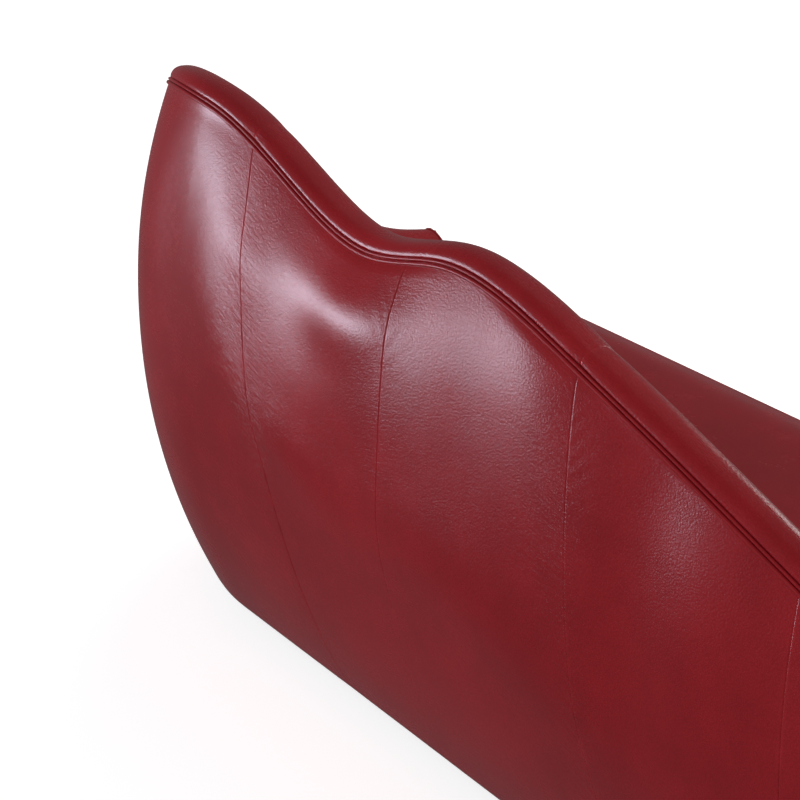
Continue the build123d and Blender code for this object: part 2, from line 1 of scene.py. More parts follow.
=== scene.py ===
import json
import math

import bmesh
import bpy
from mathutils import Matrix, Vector, noise
from mathutils.bvhtree import BVHTree


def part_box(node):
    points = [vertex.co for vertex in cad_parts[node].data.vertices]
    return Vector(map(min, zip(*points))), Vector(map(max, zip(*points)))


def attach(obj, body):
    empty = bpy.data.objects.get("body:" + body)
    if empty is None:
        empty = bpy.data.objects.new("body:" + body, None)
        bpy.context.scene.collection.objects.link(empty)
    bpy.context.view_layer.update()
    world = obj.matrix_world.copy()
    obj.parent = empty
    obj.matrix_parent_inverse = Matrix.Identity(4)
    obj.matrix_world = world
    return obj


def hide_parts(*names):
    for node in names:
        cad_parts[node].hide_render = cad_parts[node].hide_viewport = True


bl_info = {
    "name": "Wave-back leather sofa",
    "version": (1, 0, 0),
    "blender": (4, 5, 0),
    "location": "3D View > Sidebar > Sofa",
    "description": "Dresses the sofa's frame with its leather, pads, welts, seat and studio",
    "category": "Object",
}

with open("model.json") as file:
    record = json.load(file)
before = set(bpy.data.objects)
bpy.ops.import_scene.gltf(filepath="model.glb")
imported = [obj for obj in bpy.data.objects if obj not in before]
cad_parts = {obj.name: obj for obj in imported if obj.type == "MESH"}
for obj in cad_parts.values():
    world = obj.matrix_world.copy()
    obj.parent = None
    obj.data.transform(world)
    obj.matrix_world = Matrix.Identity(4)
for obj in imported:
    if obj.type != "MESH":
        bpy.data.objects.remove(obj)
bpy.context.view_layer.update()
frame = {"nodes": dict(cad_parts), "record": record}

# Sizes that the frame was built to, in metres
back_height = 0.840
crest_length = 1.760
crest_depth = 0.600
corner_radius = 0.324
seat_height = 0.388
hem_height = 0.045
hem_out = -0.008
welt_out = 0.018
welt_drop = 0.016
belly_share = 0.10
strip_inner_out = -0.044
strip_inner_drop = 0.042
pad_foot_out = -0.102
pad_foot_height = 0.200
pad_belly_share = 0.05
seat_edge_out = -0.118
seat_overhang = 0.030
seat_pad_thickness = 0.086
facing_thickness = 0.020
border_belly = 0.012
centre_x = -0.006065
crest_back_y = 0.279636
arm_front_y = crest_back_y - crest_depth
front_y = arm_front_y - seat_overhang
pad_bottom = seat_height - seat_pad_thickness
border_top = pad_bottom - 0.0015

# Cords: places down the skin, shares of the cord radius, radii, and steps along them
upper_cord_down = 0.0020
lower_cord_down = 0.0074
upper_cord_share = 0.70
lower_cord_share = 0.95
cord_lift_share = 0.30
inner_cord_radius = 0.0032
edge_cord_radius = 0.0032
border_cord_radius = 0.0034
facing_cord_radius = 0.0030
outer_cord_step = 0.006
inner_cord_step = 0.007

# Seat: gap to the pads, how far its underside is pressed down, allowance for its crown, edge round
seat_gap = 0.006
seat_press = 0.008
seat_crown_room = 0.018
seat_round = 0.018
seat_corner_round = 0.022
border_lap = 0.0110

# Pocketed springs: radius, bottom and top, and places along and across the sofa
spring_radius = 0.0498
spring_low = 0.0543
spring_high = 0.2594
spring_places_x = (-0.523, -0.3693, -0.2157, -0.062, 0.062, 0.2157, 0.3693, 0.523)
spring_places_y = (-0.1058, 0.0433)
cross_strap_places = (-0.838, -0.42, 0.0, 0.42, 0.826)

# Flat sizes of the sheets under the seat, and their areas
long_strap_flat = (0.100, 1.6554)
cross_strap_flat = (0.400, 0.5697)

# Studio: camera place from the middle of the crest, its heading and tilt, and the lamps
eye_from_crest = (-1.5854, 1.3370)
eye_height = 1.5909
eye_heading = (0.7956, -0.6058)
eye_tilt = 25.6
eye_lens = 90
eye_sensor = 36
lamp_distance = 5.0
lamp_aim = (0.0, 0.1, 0.62)
lamp_white = (1.0, 0.99, 0.98)
# Name, bearing round the sofa and above the floor, size, power, colour, mirrored by the leather
lamps = (
    ("window_light", (42.2, -2.8), (2.2, 0.98), 118.0, (0.86, 0.84, 1.0), True),
    ("key_light", (118.0, 30.0), (3.2, 3.2), 62.0, lamp_white, False),
    ("side_light", (205.0, 30.0), (3.0, 3.0), 38.0, lamp_white, False),
    ("front_light", (-60.0, 45.0), (3.2, 3.2), 66.0, lamp_white, False),
    ("front_window", (-92.0, 9.0), (3.4, 1.2), 70.0, (1.0, 0.97, 0.95), True),
    ("rear_light", (60.0, 30.0), (3.0, 2.4), 22.0, lamp_white, False),
)

# Leaning seams of the outside skin, as shares of half the crest length and of the back height
seam_shares = ((-0.56, 0.10), (-0.19, 0.15), (0.147, 0.06), (0.513, 0.20))
strip_seam_shares = (-0.19, 0.513)

# Crest line from the foot end's front round the back to the head end's front
crest_shares = (
    (-1.00, 0.495), (-0.70, 0.575), (-0.48, 0.662), (-0.26, 0.787), (-0.105, 0.872),
    (0.045, 0.916), (0.157, 0.878), (0.254, 0.913), (0.358, 0.979), (0.462, 1.0),
    (0.58, 0.957), (0.694, 0.852), (0.79, 0.683), (0.85, 0.600), (0.918, 0.523), (1.0, 0.482),
)
straight_half = crest_length / 2 - corner_radius
corner_run = corner_radius * math.pi / 2
half_girth = straight_half + corner_run + crest_depth - corner_radius
corner_start = straight_half + corner_run


def spline_bends(places, values):
    """Second slopes at each place of the natural cubic spline."""
    count = len(places)
    upper = [0.0] * count
    right = [0.0] * count
    for i in range(1, count - 1):
        before = places[i] - places[i - 1]
        after = places[i + 1] - places[i]
        turn = (values[i + 1] - values[i]) / after - (values[i] - values[i - 1]) / before
        pivot = 2 * (before + after) - before * upper[i - 1]
        upper[i] = after / pivot
        right[i] = (6 * turn - before * right[i - 1]) / pivot
    bends = [0.0] * count
    for i in range(count - 2, 0, -1):
        bends[i] = right[i] - upper[i] * bends[i + 1]
    return bends


crest_places = [place * half_girth for place, height in crest_shares]
crest_values = [height * back_height for place, height in crest_shares]
crest_bends = spline_bends(crest_places, crest_values)


def crest_height(run):
    """Height of the crest at a run measured round the crest line from the middle of the back."""
    i = 0
    while i < len(crest_places) - 2 and run > crest_places[i + 1]:
        i += 1
    span = crest_places[i + 1] - crest_places[i]
    b = (run - crest_places[i]) / span
    a = 1 - b
    bend = (a**3 - a) * crest_bends[i] + (b**3 - b) * crest_bends[i + 1]
    return a * crest_values[i] + b * crest_values[i + 1] + bend * span**2 / 6


def crest_plan(run):
    """Plan place and outward direction of the crest line."""
    side = math.copysign(1, run)
    along = abs(run)
    angle = min(max(along - straight_half, 0) / corner_radius, math.pi / 2)
    x = min(along, straight_half) + corner_radius * math.sin(angle)
    y = -corner_radius * (1 - math.cos(angle)) - max(along - straight_half - corner_run, 0)
    return side * x + centre_x, y + crest_back_y, side * math.sin(angle), math.cos(angle)


def at(run, out, height):
    """Point of the sofa at a run along the crest line, a way outward of it, and a height."""
    x, y, out_x, out_y = crest_plan(run)
    return Vector((x + out_x * out, y + out_y * out, height))


def bell(distance, width):
    """Smooth bump that is 1 in the middle."""
    return math.exp(-((distance / width) ** 2))


def crowd(share, amount):
    """Share moved towards both ends, so that a grid's lines are closest together at its seams."""
    return share - amount * math.sin(2 * math.pi * share) / (2 * math.pi)


def skin_shape(run):
    """Arc of the outside skin at a run: its middle, radius, half angle and directions."""
    top = crest_height(run) - welt_drop
    rise = top - hem_height
    reach = welt_out - hem_out
    chord = math.hypot(rise, reach)
    radius = chord / (8 * belly_share) + belly_share * chord / 2
    along = (reach / chord, rise / chord)
    away = (along[1], -along[0])
    middle = ((hem_out + welt_out) / 2, (hem_height + top) / 2)
    bow = belly_share * chord - radius
    centre = (middle[0] + away[0] * bow, middle[1] + away[1] * bow)
    return centre, radius, math.asin(chord / 2 / radius), along, away


def skin_point(run, down):
    """Outward place, height and outward direction on the outside skin, a way down from its top."""
    centre, radius, half, along, away = skin_shape(run)
    angle = half - down / radius
    out = [math.cos(angle) * away[i] + math.sin(angle) * along[i] for i in (0, 1)]
    return centre[0] + radius * out[0], centre[1] + radius * out[1], out[0], out[1]


def skin_length(run):
    """Length of the outside skin from its top to the hem."""
    radius, half = skin_shape(run)[1:3]
    return 2 * half * radius


# Shader boards: sums on sockets make their own nodes
class Wire:
    """One socket of a shader, or a number, with the usual sums."""

    def __init__(self, board, socket):
        self.board = board
        self.socket = socket

    def sum(self, kind, first, second):
        return self.board.add("ShaderNodeMath", {"operation": kind}, {0: first, 1: second})

    def __add__(self, other):
        return self.sum("ADD", self, other)

    def __radd__(self, other):
        return self.sum("ADD", other, self)

    def __sub__(self, other):
        return self.sum("SUBTRACT", self, other)

    def __rsub__(self, other):
        return self.sum("SUBTRACT", other, self)

    def __mul__(self, other):
        return self.sum("MULTIPLY", self, other)

    def __rmul__(self, other):
        return self.sum("MULTIPLY", other, self)

    def __truediv__(self, other):
        return self.sum("DIVIDE", self, other)

    def __pow__(self, other):
        return self.sum("POWER", self, other)

    def clamped(self):
        """The value kept between 0 and 1."""
        return self.board.add("ShaderNodeClamp", {}, {0: self})


class Board:
    """Nodes of one material."""

    def __init__(self, name):
        self.material = bpy.data.materials.new(name)
        self.material.use_nodes = True
        self.tree = self.material.node_tree
        self.tree.nodes.clear()

    def add(self, kind, settings=None, values=None, output=0):
        """Add a node: its settings first, then the values or links of its sockets."""
        node = self.tree.nodes.new(kind)
        for key, value in (settings or {}).items():
            if key == "stops":
                stops = node.color_ramp.elements
                while len(stops) < len(value):
                    stops.new(1.0)
                for stop, (place, colour) in zip(stops, value):
                    stop.position = place
                    stop.color = colour
            else:
                setattr(node, key, value)
        for key, value in (values or {}).items():
            if isinstance(value, Wire):
                self.tree.links.new(value.socket, node.inputs[key])
            else:
                node.inputs[key].default_value = value
        return Wire(self, node.outputs[output]) if node.outputs else node

    def coords(self, scale=(1, 1, 1), turn=(0, 0, 0), own="Object"):
        """Coordinates of the piece, turned and stretched."""
        place = self.add("ShaderNodeTexCoord", {}, {}, own)
        return self.add("ShaderNodeMapping", {}, {"Vector": place, "Scale": scale, "Rotation": turn})

    def cloud(self, scale, detail=2.0, rough=0.5, vector=None, bend=0.0):
        """Soft noise between 0 and 1."""
        values = {"Scale": scale, "Detail": detail, "Roughness": rough, "Distortion": bend}
        values["Vector"] = vector or self.coords()
        return self.add("ShaderNodeTexNoise", {}, values)

    def cells(self, scale, vector=None, feature="F1", smooth=0.3):
        """Distance pattern of packed cells."""
        values = {"Scale": scale, "Vector": vector or self.coords()}
        if feature == "SMOOTH_F1":
            values["Smoothness"] = smooth
        return self.add("ShaderNodeTexVoronoi", {"feature": feature}, values)

    def mark(self, name):
        """Value that the piece's mesh carries under a name."""
        return self.add("ShaderNodeAttribute", {"attribute_name": name}, {}, "Fac")

    def span(self, value, low, high, new_low=0.0, new_high=1.0):
        """Value taken from one range to another."""
        values = {0: value, 1: low, 2: high, 3: new_low, 4: new_high}
        return self.add("ShaderNodeMapRange", {"interpolation_type": "SMOOTHSTEP"}, values)

    def mix(self, factor, first, second, kind="MIX"):
        """Two colours mixed."""
        settings = {"data_type": "RGBA", "blend_type": kind}
        return self.add("ShaderNodeMix", settings, {0: factor, 6: first, 7: second}, 2)

    def bump(self, height, distance, strength=1.0, normal=None):
        """Surface relief from a height."""
        values = {"Height": height, "Distance": distance, "Strength": strength}
        if normal is not None:
            values["Normal"] = normal
        return self.add("ShaderNodeBump", {}, values)

    def surface(self, **values):
        """Close the board with its surface shader and give the material back."""
        named = {key.replace("_", " "): value for key, value in values.items()}
        shader = self.add("ShaderNodeBsdfPrincipled", {}, named)
        self.add("ShaderNodeOutputMaterial", {}, {"Surface": shader})
        return self.material


def full(colour, share=1.0):
    """Colour with its strength changed, as four numbers."""
    return (colour[0] * share, colour[1] * share, colour[2] * share, 1.0)


def leather(name, colour, grain=1.0, rough=0.27):
    """Waxed hide: pebbled grain, slow colour drift, creases where the mesh is marked, rubbed edges."""
    board = Board(name)
    drift = board.cloud(2.6, 3.0)
    blotch = board.cloud(17.0, 4.0, 0.6)
    warp = board.cloud(55.0, 2.0)
    pebble = board.cells(430.0, feature="SMOOTH_F1", smooth=0.6)
    pores = board.cloud(1350.0, 2.0)
    creases = board.cloud(46.0, 4.0, 0.62, board.coords((1.0, 5.5, 1.0), (0, 0, 0.6), "UV"), 0.7)
    fine = board.cloud(120.0, 3.0, 0.6, board.coords((1.0, 4.0, 1.0), (0, 0, 0.25), "UV"), 0.5)
    pucker = board.mark("pucker")
    edge = board.mark("edge")
    deep = board.span(drift * 0.7 + blotch * 0.3, 0.32, 0.68)
    tint = board.mix(deep, full(colour, 0.84), full(colour, 1.12))
    valley = board.span(pebble, 0.25, 0.75)
    tint = board.mix(valley * 0.22, tint, full(colour, 0.55))
    rubbed = (edge * board.span(blotch, 0.35, 0.7)).clamped()
    tint = board.mix(rubbed * 0.35, tint, full((colour[0] * 1.5, colour[1] * 2.6, colour[2] * 2.2)))
    gloss = rough + (blotch - 0.5) * 0.05 + (fine - 0.5) * 0.04 - rubbed * 0.04
    relief = pebble * (-0.00016 * grain) + pores * (0.00004 * grain) + warp * 0.00008
    relief = relief + fine * 0.00012 + pucker * creases * 0.0014
    skin = board.bump(relief, 1.0, 1.0)
    return board.surface(
        Base_Color=tint, Roughness=gloss, Normal=skin, Specular_IOR_Level=0.34,
        Coat_Weight=0.05, Coat_Roughness=0.16, IOR=1.47,
    )


def timber(name, colour, across):
    """Planed wood with rings and pores running along one direction."""
    board = Board(name)
    stretch = (18.0 if across != "X" else 1.5, 18.0 if across != "Y" else 1.5, 18.0 if across != "Z" else 1.5)
    grain = board.coords(stretch)
    wander = board.cloud(0.6, 2.0, 0.5, grain, 0.4)
    rings = board.add("ShaderNodeTexWave", {"wave_type": "RINGS"}, {
        "Scale": 0.9, "Distortion": 3.4, "Detail": 3.0, "Vector": grain,
    })
    pores = board.cloud(22.0, 3.0, 0.7, grain)
    tint = board.mix(rings * 0.5 + wander * 0.4, full(colour, 1.12), full(colour, 0.62))
    tint = board.mix(board.span(pores, 0.56, 0.72) * 0.5, tint, full(colour, 0.35))
    relief = board.bump(pores * -0.00015 + rings * 0.00006, 1.0)
    return board.surface(Base_Color=tint, Roughness=0.46 + pores * 0.16, Normal=relief)


def woven(name, colour, dark, threads, depth, rough=0.86):
    """Plain weave with the given threads to the metre."""
    board = Board(name)
    place = board.coords((threads, threads, threads))
    warp, weft = (
        board.add("ShaderNodeTexWave", {"wave_type": "BANDS", "bands_direction": axis}, {
            "Scale": 0.5, "Distortion": 0.6, "Vector": place,
        })
        for axis in "XY"
    )
    slub = board.cloud(60.0, 3.0)
    weave = warp * weft
    tint = board.mix(weave, full(dark), full(colour))
    tint = board.mix(slub * 0.4, tint, full(colour, 0.6))
    relief = board.bump((warp + weft) * depth + slub * depth, 1.0)
    return board.surface(Base_Color=tint, Roughness=rough + slub * 0.08, Normal=relief)


def felted(name, colour, fibre, rough=0.95):
    """Matted fibres."""
    board = Board(name)
    tangle = board.cloud(fibre, 6.0, 0.75, None, 1.2)
    lumps = board.cloud(22.0, 2.0)
    tint = board.mix(tangle, full(colour, 0.5), full(colour, 1.1))
    relief = board.bump(tangle * 0.0012 + lumps * 0.002, 1.0)
    return board.surface(Base_Color=tint, Roughness=rough - lumps * 0.08, Normal=relief)


def metal(name, colour, rough=0.34):
    """Zinc-coated steel with fine scratches."""
    board = Board(name)
    scratch = board.cloud(90.0, 4.0, 0.7, board.coords((1.0, 12.0, 1.0)))
    spangle = board.cells(70.0)
    tint = board.mix(spangle * 0.6, full(colour), full(colour, 0.7))
    relief = board.bump(scratch * 0.00004, 1.0)
    return board.surface(Base_Color=tint, Roughness=rough + scratch * 0.2, Metallic=1.0, Normal=relief)


def moulded(name, colour):
    """Moulded plastic with a fine satin texture and scuffs."""
    board = Board(name)
    scuff = board.cloud(140.0, 4.0, 0.7)
    tint = board.mix(board.span(scuff, 0.5, 0.75), full(colour), full(colour, 2.2))
    relief = board.bump(scuff * 0.00008, 1.0)
    return board.surface(Base_Color=tint, Roughness=0.42 + scuff * 0.25, Normal=relief)


finishes = {}


def finish_of(slot):
    """Material for one of the record's slots, made once from the panel's colours."""
    if slot in finishes:
        return finishes[slot]
    hues = bpy.context.scene.sofa_colours
    makers = {
        "oxblood_leather": lambda: leather("oxblood_leather_look", hues.hide),
        "welt_leather": lambda: leather("welt_leather_look", hues.hide, 0.5, 0.30),
        "beech": lambda: timber("beech_look", hues.beech, "X"),
        "dark_beech": lambda: timber("dark_beech_look", hues.feet, "Z"),
        "jute_webbing": lambda: woven("jute_webbing_look", hues.jute, full(hues.jute, 0.3), 420.0, 0.0004),
        "hessian": lambda: woven("hessian_look", hues.jute, full(hues.jute, 0.25), 560.0, 0.0004),
        "calico": lambda: woven("calico_look", hues.calico, full(hues.calico, 0.6), 1400.0, 0.00008),
        "stuffing": lambda: felted("stuffing_look", hues.stuffing, 260.0),
        "dust_cloth": lambda: felted("dust_cloth_look", hues.dust, 900.0),
        "steel": lambda: metal("steel_look", hues.steel),
        "glide_plastic": lambda: moulded("glide_plastic_look", hues.glide),
    }
    finishes[slot] = makers[slot]()
    return finishes[slot]


# Mesh helpers
def grid_mesh(columns, rows, place, flat, marks=None):
    """Grid whose points are placed by two shares, with a map in metres and marks on its points."""
    marks = marks or {}
    bm = bmesh.new()
    bmesh.ops.create_grid(bm, x_segments=columns, y_segments=rows, size=1)
    chart = bm.loops.layers.uv.new("UVMap")
    layers = {name: bm.verts.layers.float.new(name) for name in marks}
    bm.verts.index_update()
    shares = [((v.co.x + 1) / 2, (v.co.y + 1) / 2) for v in bm.verts]
    charted = [flat(u, v) for u, v in shares]
    for face in bm.faces:
        face.smooth = True
        for loop in face.loops:
            loop[chart].uv = charted[loop.vert.index]
    for vert, (u, v) in zip(bm.verts, shares):
        for name, rule in marks.items():
            vert[layers[name]] = rule(u, v)
        vert.co = place(u, v)
    return bm


def face_outwards(bm):
    """Turn the faces of a closed shape outward."""
    bmesh.ops.recalc_face_normals(bm, faces=bm.faces)


def turn_if_inward(bm, outward):
    """Flip an open grid whose first face looks away from the outward direction of its place."""
    bm.normal_update()
    facing = sum(face.normal.dot(outward(face.calc_center_median())) for face in bm.faces)
    if facing < 0:
        bmesh.ops.reverse_faces(bm, faces=bm.faces)


def away_from_middle(point):
    """Outward direction at a point of the sofa's shell, seen from above the seat."""
    middle = Vector((centre_x, crest_back_y - corner_radius, 0))
    x = min(max(point.x, centre_x - straight_half), centre_x + straight_half)
    way = Vector((point.x - x, point.y - min(middle.y, point.y), 0))
    return way if way.length > 0.001 else Vector((0, 1, 0))


def build(name, bm, slot, *nodes, wall=0.0, padded=None):
    """Make the object from its mesh, give it thickness and finish, and hide the frame's nodes that it stands
    for.
    """
    mesh = bpy.data.meshes.new(name)
    bm.to_mesh(mesh)
    bm.free()
    piece = bpy.data.objects.new(name, mesh)
    bpy.context.scene.collection.objects.link(piece)
    if wall:
        thick = piece.modifiers.new("Wall", "SOLIDIFY")
        thick.thickness = wall
        thick.offset = -1.0
    mesh.materials.append(finish_of(slot))
    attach(piece, "root")
    if nodes:
        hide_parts(*nodes)
    return piece


def tube(stops, radius, sides=12):
    """Round cord through stops, each with its place, side direction and up direction."""
    last = len(stops) - 1

    def place(u, v):
        centre, side, up = stops[min(round(u * last), last)]
        angle = 2 * math.pi * v
        return centre + side * (radius * math.cos(angle)) + up * (radius * math.sin(angle))

    length = [0.0]
    for (a, *_), (b, *_) in zip(stops, stops[1:]):
        length.append(length[-1] + (b - a).length)
    bm = grid_mesh(last, sides, place, lambda u, v: (length[round(u * last)], v * 2 * math.pi * radius))
    bmesh.ops.remove_doubles(bm, verts=bm.verts, dist=0.00001)
    ends = [edge for edge in bm.edges if edge.is_boundary]
    if ends:
        bmesh.ops.holes_fill(bm, edges=ends, sides=0)
    face_outwards(bm)
    return bm


cloth_frames = 20


def soften(piece, voxel, pressure, cap, hold):
    """Swell a closed pad as stuffed leather: remesh, let the cloth take the pressure, cap each move."""
    bpy.context.view_layer.update()
    bpy.ops.object.select_all(action="DESELECT")
    piece.select_set(True)
    bpy.context.view_layer.objects.active = piece
    piece.data.remesh_voxel_size = voxel
    bpy.ops.object.voxel_remesh()
    start = [vert.co.copy() for vert in piece.data.vertices]
    cloth = piece.modifiers.new("Cloth", "CLOTH")
    cloth.settings.use_pressure = True
    cloth.settings.uniform_pressure_force = pressure
    cloth.settings.quality = 4
    cloth.settings.effector_weights.gravity = 0
    cloth.point_cache.frame_start = 1
    cloth.point_cache.frame_end = cloth_frames
    scene = bpy.context.scene
    for number in range(1, cloth_frames + 1):
        scene.frame_set(number)
    bpy.ops.object.modifier_apply(modifier=cloth.name)
    scene.frame_set(1)
    for vert, before in zip(piece.data.vertices, start):
        move = vert.co - before
        if move.length > cap:
            move = move * (cap / move.length)
        vert.co = hold(before, before + move)
    for face in piece.data.polygons:
        face.use_smooth = True
    finer = piece.modifiers.new("Finer", "SUBSURF")
    finer.levels = 1
    finer.render_levels = 1


# Runs of the seams at a share of the skin's height
def skin_height(run, share):
    """Height on the outside skin at a share of its length from hem to top."""
    return skin_point(run, skin_length(run) * (1 - share))[1]


def seam_run(index, share):
    """Run of one seam at a share of the skin's length; the first and last are the arm fronts."""
    if index == 0:
        return -half_girth
    if index > len(seam_shares):
        return half_girth
    place, lean = seam_shares[index - 1]
    start = place * crest_length / 2
    top = crest_height(start) - welt_drop
    slope = lean * back_height / (top - hem_height)
    run = start
    for _ in range(4):
        run = start - slope * (top - skin_height(run, share))
    return run


def ease(value, low, high):
    """Smooth step from 0 to 1 between two values."""
    share = min(max((value - low) / (high - low), 0.0), 1.0)
    return share * share * (3 - 2 * share)


def skin_drift(run, height, down, sizes):
    """Slow waves of the outside skin, and the full and hollow places of its stuffing."""
    move = noise.noise(Vector((run * 4.2, height * 3.6, 2.0))) * sizes.wave_depth
    for place, drop, wide, tall, depth in stuffing_places:
        move += depth * sizes.fullness * bell(run - place, wide) * bell(down - drop, tall)
    return move


def seam_drift(distance, side, index, height, strength, sizes):
    """How a seam draws the skin in and puckers it."""
    depth, before, after, middle, spread = seam_pulls[index - 1]
    reach = before if side < 0 else after
    if index == 4 and side < 0:
        strength *= 0.12
    line = 0.35 + 0.65 * ease(height, seam_fades[index - 1] - 0.12, seam_fades[index - 1] + 0.05)
    groove = sizes.seam_depth * line * bell(distance, 0.0009)
    groove += depth * sizes.fullness * bell(height - middle, spread) * math.exp(-distance / reach)
    slant = height * 62.0 - distance * 30.0
    shift = noise.noise(Vector((distance * 14.0, height * 9.0, strength))) * 2.2
    ripple = math.sin(2 * math.pi * (slant + shift)) * sizes.pucker_depth
    return ripple * strength * math.exp(-distance / 0.03) * min(1.0, distance / 0.004) - groove


def pucker_strength(index, height):
    """How strongly a seam of the outside skin is puckered at a height."""
    if index == 4:
        return 0.25 + 0.95 * bell(height - 0.50, 0.16)
    if index == 2:
        return 0.20 + 0.55 * bell(height - 0.45, 0.22)
    return 0.18


# Full and hollow places of the outside stuffing: run, way down the skin, width, length and depth
stuffing_places = (
    (-0.304, 0.121, 0.065, 0.220, -0.0059),
    (-0.120, 0.021, 0.081, 0.093, 0.0054),
    (0.205, 0.075, 0.075, 0.050, 0.0052),
    (0.180, 0.110, 0.095, 0.108, 0.0086),
    (0.416, 0.134, 0.065, 0.042, 0.0037),
    (0.296, 0.305, 0.136, 0.051, 0.0054),
    (0.307, 0.228, 0.242, 0.129, 0.0093),
    (0.610, 0.236, 0.065, 0.194, -0.0078),
    (0.223, 0.087, 0.163, 0.053, 0.0060),
    (0.578, 0.246, 0.094, 0.186, -0.0094),
    (-0.004, 0.354, 0.260, 0.076, 0.0086),
    (0.085, 0.090, 0.065, 0.042, -0.0012),
    (-0.030, 0.170, 0.086, 0.128, -0.0043),
)
# How each seam draws the skin in: depth, reach to its two sides, height and spread of the pull
seam_pulls = (
    (0.0006, 0.040, 0.040, 0.45, 0.30),
    (0.0015, 0.090, 0.120, 0.80, 0.20),
    (0.0007, 0.041, 0.040, 0.75, 0.20),
    (0.0008, 0.100, 0.020, 0.30, 0.20),
)
# Height below which each seam lies faint
seam_fades = (0.30, 0.58, 0.38, 0.20)
roll_radius = 0.008
tuck = 0.014


def skin_panel(index, columns, rows, sizes):
    """One outside panel between two seams, rolled under at its hem."""
    cut = roll_radius * 0.62
    tail = roll_radius * 1.16 + tuck
    edges = [[seam_run(k, j / rows) for j in range(rows + 1)] for k in (index, index + 1)]

    def run_at(u, v):
        j = min(round(v * rows), rows)
        return edges[0][j] + (edges[1][j] - edges[0][j]) * crowd(u, 0.86)

    def near_seam(u, v):
        run = run_at(u, v)
        j = min(round(v * rows), rows)
        found = []
        if index > 0:
            found.append((abs(run - edges[0][j]), index))
        if index < len(seam_shares):
            found.append((abs(run - edges[1][j]), index + 1))
        return found

    def place(u, v):
        run = run_at(u, v)
        length = skin_length(run) - cut
        down = (length + tail) * (1 - v)
        if down <= length:
            out, height, way_out, way_up = skin_point(run, down)
        else:
            out, height, way_out, way_up = skin_point(run, length)
            turn = math.atan2(way_up, way_out)
            more = min((down - length) / roll_radius, math.pi / 2 + turn)
            flat = max(0.0, down - length - more * roll_radius)
            centre_out = out - roll_radius * way_out
            centre_up = height - roll_radius * way_up
            way_out, way_up = math.cos(turn - more), math.sin(turn - more)
            out = centre_out + roll_radius * way_out - flat
            height = centre_up + roll_radius * way_up
        at_ends = ease(down, 0.0, 0.02) * min(1.0, max(0.0, length - down) / 0.04)
        move = skin_drift(run, height, down, sizes) * at_ends
        for distance, seam in near_seam(u, v):
            side = -1 if seam == index + 1 else 1
            move += seam_drift(distance, side, seam, height, pucker_strength(seam, height), sizes)
        return at(run, out + way_out * move, height + way_up * move)

    def flat_place(u, v):
        run = run_at(u, v)
        return run, (1 - v) * (skin_length(run) + tail)

    def pucker(u, v):
        height = skin_height(run_at(u, v), v)
        found = [math.exp(-d / 0.05) * pucker_strength(k, height) for d, k in near_seam(u, v)]
        return min(1.0, sum(found))

    def edge(u, v):
        found = [bell(d, 0.004) for d, k in near_seam(u, v)]
        return min(1.0, sum(found) * 0.6 + bell(v, 0.03) * 0.5 + bell(1 - v, 0.01) * 0.3)

    bm = grid_mesh(columns, rows, place, flat_place, {"pucker": pucker, "edge": edge})
    turn_if_inward(bm, away_from_middle)
    return bm


strip_round = (strip_inner_out**2 + strip_inner_drop**2) / (2 * strip_inner_drop)
strip_turn = math.asin(-strip_inner_out / strip_round)
strip_curl = 0.006
strip_width = 0.104


def strip_point(run, share):
    """Outward place, height and outward direction on the top strip, from its outer edge inwards."""
    crest = crest_height(run)
    lengths = (welt_drop * math.pi / 2, strip_round * strip_turn, strip_curl * 2.0)
    way = share * sum(lengths)
    if way <= lengths[0]:
        angle = way / welt_drop
        return (
            welt_out * math.cos(angle), crest - welt_drop + welt_drop * math.sin(angle),
            math.cos(angle), math.sin(angle),
        )
    if way <= lengths[0] + lengths[1]:
        angle = (way - lengths[0]) / strip_round
        out, up = -math.sin(angle), math.cos(angle)
        full_round = 0.002 * math.sin(math.pi * angle / strip_turn)
        return (
            out * (strip_round + full_round), crest - strip_round + (strip_round + full_round) * up, out, up
        )
    angle = strip_turn + (way - lengths[0] - lengths[1]) / strip_curl
    out, up = -math.sin(strip_turn), math.cos(strip_turn)
    centre = ((strip_round - strip_curl) * out, crest - strip_round + (strip_round - strip_curl) * up)
    return (
        centre[0] - strip_curl * math.sin(angle), centre[1] + strip_curl * math.cos(angle),
        -math.sin(angle), math.cos(angle),
    )


def strip_length_mesh(first, last, columns, rows, sizes):
    """One length of the top strip between two cross seams or arm fronts."""
    seams = [end for end in (first, last) if abs(end) < half_girth - 0.001]

    def run_at(u):
        return first + (last - first) * crowd(u, 0.9)

    def place(u, v):
        run = run_at(u)
        out, height, way_out, way_up = strip_point(run, v)
        move = noise.noise(Vector((run * 7.0, v * 2.0, 5.0))) * 0.0012 * math.sin(math.pi * v)
        for seam in seams:
            distance = abs(run - seam)
            move -= sizes.seam_depth * bell(distance, 0.0013) + 0.0008 * bell(distance, 0.016)
            move += math.sin(v * 46.0 + 3.0 * seam) * 0.0002 * bell(distance - 0.010, 0.010)
        return at(run, out + way_out * move, height + way_up * move)

    def pucker(u, v):
        at_seams = sum(0.7 * bell(run_at(u) - seam, 0.03) for seam in seams)
        return min(1.0, at_seams + 0.12 * bell(v - 0.95, 0.1))

    def edge(u, v):
        return min(1.0, sum(bell(run_at(u) - seam, 0.005) for seam in seams) + 0.4 * bell(v - 0.88, 0.06))

    marks = {"pucker": pucker, "edge": edge}
    bm = grid_mesh(columns, rows, place, lambda u, v: (run_at(u), v * strip_width), marks)
    turn_if_inward(bm, lambda point: Vector((0, 0, 1)))
    return bm


